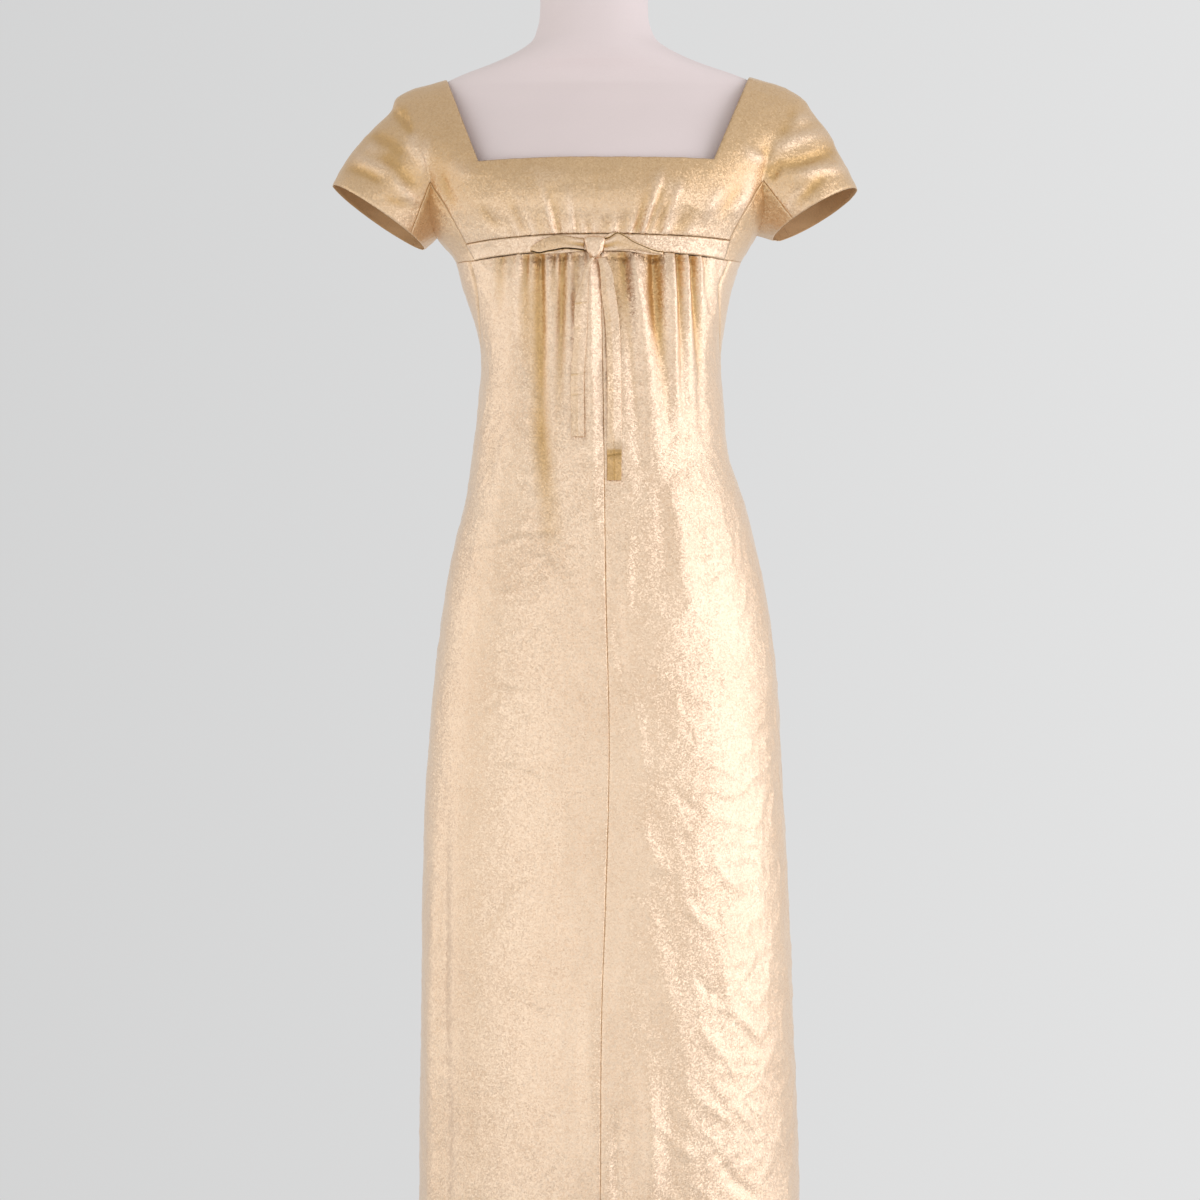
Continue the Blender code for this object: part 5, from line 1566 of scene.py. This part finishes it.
def gown_panel(name, lift, scene, tone=0.0):
    """A dressed panel: its base grid moved along the shared normals by its lift, with a thin wall.

    Its edges turn in where they are sewn or hemmed. Painted shade deepens its colour in the folds, along the
    edges and by the given tone, and painted highlight lightens it on the crests.
    """
    points, quads, normals = panels()[name]
    sizes = scene.gown_sizes
    placed, fine = cloth_relief(points, sizes)
    edge = edge_share(points, quads, EDGE_TURN)
    # Painted shade deeper on the bust and painted light paler low down, added to the panel's tone
    tone = tone + PAINTED_SHADE_BUST["most"] * smooth((points[..., 2] - PAINTED_SHADE_BUST["start"]) / PAINTED_SHADE_BUST["fade"])
    tone = tone - PAINTED_LIGHT_LOW["most"] * smooth((PAINTED_LIGHT_LOW["top"] - points[..., 2]) / PAINTED_LIGHT_LOW["fade"])
    # Painted shading: the tone less the lift (painted shade in troughs, painted highlight on crests), and
    # painted shade along the edges
    folds = np.maximum(np.clip(tone - (lift + placed) / PAINTED_SHADE_DEPTH, *PAINTED_SHADING_LIMITS), EDGE_PAINTED_SHADE * edge**2)
    dressed = points + normals * (lift + placed + fine - sizes.seam_dip * edge)[..., None]
    item = add_mesh(name + "_cloth", dressed, quads, cloth_lengths(points), folds)
    solidify(item, sizes.thickness, material("lame_cloth", scene), material("lame_reverse", scene))
    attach(item, BODY)
    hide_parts(name)


class GOWN_OT_bodice(bpy.types.Operator):
    """Makes the front bodice with its cut-on sleeves, gathers and sleeve creases"""

    bl_idname = "gown.bodice"
    bl_label = "Front bodice"

    def execute(self, context):
        lift = bodice_lift(panels()["front_bodice"][0], context.scene.gown_sizes.gathers)
        gown_panel("front_bodice", lift, context.scene)
        return {"FINISHED"}


class GOWN_OT_gussets(bpy.types.Operator):
    """Makes the two underarm gussets"""

    bl_idname = "gown.gussets"
    bl_label = "Underarm gussets"

    def execute(self, context):
        for side in SIDES:
            # The gussets face downwards, so they get painted shade
            gown_panel("gusset_" + side, 0, context.scene,
                       GUSSET_PAINTED_SHADE)
        return {"FINISHED"}


class GOWN_OT_band(bpy.types.Operator):
    """Makes the narrow band under the bust"""

    bl_idname = "gown.band"
    bl_label = "Empire band"

    def execute(self, context):
        gown_panel("front_band", BAND_RISE, context.scene)
        return {"FINISHED"}


class GOWN_OT_skirts(bpy.types.Operator):
    """Makes the two front skirt panels, gathered under the band"""

    bl_idname = "gown.skirts"
    bl_label = "Front skirts"

    def execute(self, context):
        for side in SIDES:
            lift = skirt_lift(panels()["front_skirt_" + side][0], context.scene.gown_sizes.gathers)
            gown_panel("front_skirt_" + side, lift, context.scene)
        return {"FINISHED"}


class GOWN_OT_backs(bpy.types.Operator):
    """Makes the two back panels, shoulder to hem, with the back halves of the sleeves"""

    bl_idname = "gown.backs"
    bl_label = "Backs"

    def execute(self, context):
        for side in SIDES:
            gown_panel("back_" + side, 0, context.scene)
        return {"FINISHED"}


def crease_line(position, centre, width):
    """A bell curve across a line, for a pressed crease."""
    return np.exp(-((position - centre) / width) ** 2)


def seat_over(across, height, half):
    """The foremost of the gown's face over a stretch of heights, for a ribbon that lies over it."""
    steps = half * np.linspace(-1, 1, SEAT_STEPS)[:, None]
    return front_face(across, height + steps).min(axis=0) - BOW_SEAT


def loop_points(side):
    """A flat loop of ribbon, folded back on itself at its outer end.

    The back layer runs out along the band and the front layer home again, each between its own low
    and high edge. The front layer puffs out by a sine, stands open along one edge, and has small
    pinches that fan out from the knot. The back layer gets a painted highlight and the front layer
    painted shade, the pinches are painted lighter and darker, and a painted shadow lies on the back
    layer along the open edge.
    """
    edges = LOOP_EDGES[side]
    near, out = sorted(edges.rows[[0, -1], 0], key=abs)
    back = np.linspace(near, out, LOOP_COLUMNS)
    turn = np.radians(np.linspace(-90, 90, LOOP_TURNS)[1:-1])
    fold = out + SIDES[side]["sign"] * LOOP_RADIUS * np.cos(turn)
    across = np.concatenate([back, fold, back[::-1]])[:, None]
    layer = np.concatenate([0 * back, (1 + np.sin(turn)) / 2, 0 * back + 1])[:, None]
    low = mix(edges.at(across, "back_low"), edges.at(across, "front_low"), layer)
    high = mix(edges.at(across, "back_high"), edges.at(across, "front_high"), layer)
    share = np.linspace(0, 1, LOOP_ROWS)[None, ::-SIDES[side]["sign"]]
    height = mix(low, high, share)
    reach = np.clip((across - near) / (out - near), 0, 1)
    seat = seat_over(across[:, 0], (low + high)[:, 0] / 2, (high - low)[:, 0] / 2)[:, None]
    opened = share if LOOP_OPEN[side] == "high" else 1 - share
    puff = np.sin(math.pi * reach) * (LOOP_PUFF * np.sin(math.pi * share) + LOOP_MOUTH * opened**2)
    pinch = np.sin(PINCHES * share + PINCH_START) * np.exp(-(reach / PINCH_REACH) ** 2)
    ripple = RIPPLE * hills(across + 0 * share, height, *LOOP_RIPPLE)
    lift = LOOP_END_LIFT * reach + 2 * LOOP_RADIUS * layer + layer * (puff + PINCH * pinch + ripple)
    # Painted shadow on the back layer along the open edge, painted highlight on the back layer, painted shade
    # on the front layer, the pinches painted lighter and darker
    slit = crease_line(height, edges.at(across, "front_" + LOOP_OPEN[side]), LOOP_SLIT_SHADOW_WIDTH)
    folds = (1 - layer) * (LOOP_SLIT_SHADOW * slit - LOOP_LAYER_SHADING) + layer * (LOOP_LAYER_SHADING - PINCH_SHADING * pinch)
    return joined(across, seat - lift, height), folds


def tail_points(side):
    """A flat ribbon hanging from the knot, just clear of the gathers, turning a little on its way.

    A pressed crease runs down its middle, and others cross it where it was folded. Painted shade lies along the
    creases, over the tail and at its lowest end, and a painted highlight on its right-hand half, which faces
    the key light.
    """
    path = TAILS[side]
    heights = np.linspace(path.rows[-1, 0], path.rows[0, 0], TAIL_ROWS)
    across, lifted, broad, degrees = (path.at(heights, name) for name in path.names[1:])
    turn = np.radians(degrees)
    steps = broad * np.linspace(-0.5, 0.5, TAIL_STEPS)[:, None]
    clear = front_face(across + steps * np.cos(turn), heights) - steps * np.sin(turn)
    depth = clear.min(axis=0) - lifted
    share = np.linspace(-0.5, 0.5, TAIL_COLUMNS)[None, :]
    step = broad[:, None] * share
    heights = heights[:, None]
    below = path.rows[-1, 0] - heights
    wander, waves = TAIL_CREASE_WANDER
    middle = crease_line(step, wander * np.sin(below * waves), TAIL_CREASE_WIDTH)
    middle = middle * smooth((TAIL_PRESSED[side] - heights) / TAIL_PRESSED_FADE)
    pressed = sum(
        rise * crease_line(heights, place + step * TAIL_CROSS_SLANT, TAIL_CROSS_WIDTH)
        for place, rise in TAIL_CREASES[side].rows)
    wave = RIPPLE * hills(share * TAIL_SWAY + 0 * below, below, *TAIL_RIPPLE)
    lift = pressed + wave - TAIL_CREASE * middle - TAIL_CURL * (2 * share) ** 2
    # Painted shading: painted shade on the creases, the whole tail and its lowest end, less a painted highlight
    # on its right-hand half
    shaded_end = TAIL_END_SHADE[side] * smooth((TAIL_END - heights) / TAIL_END_FADE)
    lit = TAIL_LIT[side] * smooth((share + TAIL_LIT_HALF) / (2 * TAIL_LIT_HALF))
    lit = lit * smooth((heights - TAIL_END) / TAIL_LIT_FADE)
    folds = np.abs(pressed) / MM + TAIL_PAINTED_SHADE[side] * (1 + middle) + shaded_end - lit
    y = depth[:, None] + step * np.sin(turn)[:, None] - lift
    return joined(across[:, None] + step * np.cos(turn)[:, None], y, heights), folds


def knot_rings():
    """The knot: superellipse rings that narrow downwards, with creases that fan out on its front."""
    turns = np.linspace(0, 2 * math.pi, KNOT["turns"] + 1)[:-1]
    tiers = np.radians(np.linspace(-KNOT["steepest"], KNOT["steepest"], KNOT["tiers"]))
    tier, turn = np.meshgrid(tiers, turns, indexing="ij")
    power = KNOT["roundness"]
    half_width = KNOT["half_width"] * (1 + KNOT["taper"] * (np.sin(tier) - 1) / 2)
    across = KNOT["across"] + half_width * rounded(np.cos(tier), power) * rounded(np.cos(turn), power)
    seat = seat_over(np.array([KNOT["across"]]), KNOT["height"], KNOT["half_height"] / 2)
    front = rounded(np.cos(tier), power) * rounded(np.sin(turn), power)
    depth = seat - KNOT["half_depth"] + KNOT["half_depth"] * front
    fan = np.sin(KNOT["creases"] * turn) * smooth(KNOT["crease_top"] - np.sin(tier) / KNOT["crease_fade"])
    depth = depth + KNOT["crease"] * fan * np.cos(tier) * np.clip(-np.sin(turn), 0, 1)
    return joined(across, depth, KNOT["height"] + KNOT["half_height"] * rounded(np.sin(tier), power))


def ribbon_piece(name, points, folds, scene, flat, held, rests_on):
    """A ribbon of the bow as a thin shell that stands for its solid."""
    quads = grid_quads(points)
    # Painted shade along the ribbon's edges
    folds = np.maximum(folds, EDGE_PAINTED_SHADE * edge_share(points, quads, RIBBON_EDGE) ** 2)
    item = add_mesh(name + "_cloth", points, quads, cloth_lengths(points), folds)
    gold = material("lame_cloth", scene)
    solidify(item, scene.gown_sizes.thickness, gold, gold)
    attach(item, BODY)
    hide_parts(name)


class GOWN_OT_bow(bpy.types.Operator):
    """Makes the bow: two flat loops, the knot and two tails"""

    bl_idname = "gown.bow"
    bl_label = "Bow"

    def execute(self, context):
        scene = context.scene
        for side in SIDES:
            length = float(np.ptp(LOOP_EDGES[side].rows[:, 0]))
            ribbon_piece("bow_loop_" + side, *loop_points(side), scene, (LOOP_CUT * length, RIBBON), "folded",
                         ["front_band_cloth"])
            tail = TAILS[side].rows
            ribbon_piece("bow_tail_" + side, *tail_points(side), scene,
                         (RIBBON, float(tail[-1, 0] - tail[0, 0])), "hung", ["bow_knot_cloth"])
        knot = closed_rings("bow_knot_cloth", knot_rings(), material("lame_cloth", scene))
        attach(knot, BODY)
        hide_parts("bow_knot")
        return {"FINISHED"}


class GOWN_OT_zip(bpy.types.Operator):
    """Makes the tapes and teeth of the concealed zip behind the centre-back seam"""

    bl_idname = "gown.zip"
    bl_label = "Zip"

    def execute(self, context):
        heights = np.linspace(ZIP_TOP, ZIP_BOTTOM, ZIP_ROWS)[:, None]
        off = ZIP_WIDTH * np.linspace(0.5, -0.5, ZIP_COLUMNS)[None, :]
        coil = crease_line(off, 0, ZIP_TEETH) * (1 + 0.5 * np.cos(heights * 2 * math.pi / ZIP_PITCH))
        depth = depth_at(0.0, heights, 1) - CLOTH - ZIP_CLEARANCE - ZIP_TEETH * coil
        points = joined(middle_and_half(heights)[0] + off, depth, heights)
        item = add_mesh("back_zip_tape", points, grid_quads(points), cloth_lengths(points))
        tape = material("twill_tape", context.scene)
        solidify(item, ZIP_TAPE, tape, tape)
        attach(item, BODY)
        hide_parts("back_zip")
        return {"FINISHED"}


class GOWN_OT_form(bpy.types.Operator):
    """Makes the smooth dress form with its knitted cover"""

    bl_idname = "gown.form"
    bl_label = "Dress form"

    def execute(self, context):
        turns = np.linspace(0, 2 * math.pi, FORM_TURNS + 1)[:-1][None, :]
        low, high = FORM.rows[0, 0], FORM.rows[-1, 0]
        heights = np.unique(np.concatenate([np.linspace(low, high, FORM_LEVELS), FORM.rows[:, 0]]))[:, None]
        power = 2 / FORM_SQUARENESS
        reach = np.where(np.sin(turns) < 0, FORM.at(heights, "front"), FORM.at(heights, "back"))
        across = FORM.at(heights, "shift") + FORM.at(heights, "half") * rounded(np.cos(turns), power)
        rings = joined(across, MIDDLE_Y + reach * rounded(np.sin(turns), power), heights)
        item = closed_rings("form_cover_body", rings, material("knitted_cover", context.scene))
        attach(item, BODY)
        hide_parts("form_body")
        return {"FINISHED"}


class GOWN_OT_stand(bpy.types.Operator):
    """Gives the stand's pole and base their black powder coat"""

    bl_idname = "gown.stand"
    bl_label = "Stand"

    def execute(self, context):
        for name in ("stand_pole", "stand_base"):
            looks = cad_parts[name].data.materials
            looks.clear()
            looks.append(material("powder_coat", context.scene))
        return {"FINISHED"}


def area_light(name, power, size, place, target, colour):
    """A soft rectangular light that looks at a height on the middle line."""
    lamp = bpy.data.lights.new(name, "AREA")
    lamp.energy = power
    lamp.shape = "RECTANGLE"
    lamp.size, lamp.size_y = size
    lamp.color = colour
    item = bpy.data.objects.new(name, lamp)
    item.location = place
    item.rotation_euler = (Vector((0, 0, target)) - Vector(place)).to_track_quat("-Z", "Y").to_euler()
    item.visible_camera = False
    bpy.context.scene.collection.objects.link(item)


def pale_room(strength):
    """Even light from all round, a little paler to the right, which is also the backdrop."""
    nodes = Nodes(bpy.data.worlds.new("room"), "Background")
    across = nodes.add("ShaderNodeSeparateXYZ", [(0, nodes.places["Generated"])]).outputs["X"]
    left, right = ROOM["left"] * strength, ROOM["right"] * strength
    return nodes.finish({
        "Color": ROOM["colour"],
        "Strength": nodes.ramp(across, -ROOM["edge"], ROOM["edge"], left, right),
    })


class GOWN_OT_stage(bpy.types.Operator):
    """Makes the pale floor and surround, the soft lights and the camera"""

    bl_idname = "gown.stage"
    bl_label = "Studio"

    def execute(self, context):
        scene = context.scene
        studio = scene.gown_studio
        turn = np.linspace(0, 2 * math.pi, FLOOR_TURNS + 1)[:-1]
        ring = FLOOR_RADIUS * joined(np.cos(turn), np.sin(turn), 0)
        rings = np.stack([ring - [0, 0, FLOOR_DEPTH], ring])
        floor = closed_rings("studio_floor", rings, material("studio_paint", scene))
        floor.data.shade_flat()
        for name, light in LIGHTS.items():
            area_light(name, getattr(studio, name), *light)
        scene.view_settings.view_transform = "Standard"
        scene.world = pale_room(studio.room)
        lens = bpy.data.cameras.new("camera")
        lens.sensor_width = SENSOR
        lens.lens = SENSOR * studio.distance / studio.view_width
        camera = bpy.data.objects.new("camera", lens)
        camera.location = (studio.across, -studio.distance, studio.height)
        camera.rotation_euler = (math.pi / 2, 0, 0)
        scene.collection.objects.link(camera)
        scene.camera = camera
        return {"FINISHED"}


class GOWN_PT_panel(bpy.types.Panel):
    """Lists the gown's pieces and settings in the sidebar"""

    bl_label = "Gown"
    bl_idname = "GOWN_PT_panel"
    bl_space_type = "VIEW_3D"
    bl_region_type = "UI"
    bl_category = "Gown"

    def draw(self, context):
        for operator in OPERATORS:
            self.layout.operator(operator.bl_idname, text=operator.bl_label)
        for group in (context.scene.gown_sizes, context.scene.gown_looks, context.scene.gown_studio):
            box = self.layout.box()
            for name in group.__annotations__:
                box.prop(group, name)


OPERATORS = (
    GOWN_OT_form,
    GOWN_OT_stand,
    GOWN_OT_bodice,
    GOWN_OT_gussets,
    GOWN_OT_band,
    GOWN_OT_skirts,
    GOWN_OT_backs,
    GOWN_OT_bow,
    GOWN_OT_zip,
    GOWN_OT_stage,
)
CLASSES = (GownSizes, GownLooks, GownStudio) + OPERATORS + (GOWN_PT_panel,)


def register():
    for item in CLASSES:
        bpy.utils.register_class(item)
    bpy.types.Scene.gown_sizes = bpy.props.PointerProperty(type=GownSizes)
    bpy.types.Scene.gown_looks = bpy.props.PointerProperty(type=GownLooks)
    bpy.types.Scene.gown_studio = bpy.props.PointerProperty(type=GownStudio)


def unregister():
    del bpy.types.Scene.gown_studio
    del bpy.types.Scene.gown_looks
    del bpy.types.Scene.gown_sizes
    for item in reversed(CLASSES):
        bpy.utils.unregister_class(item)


def main():
    register()
    for operator in OPERATORS:
        group, name = operator.bl_idname.split(".")
        getattr(getattr(bpy.ops, group), name)()


if __name__ == "__main__":
    main()
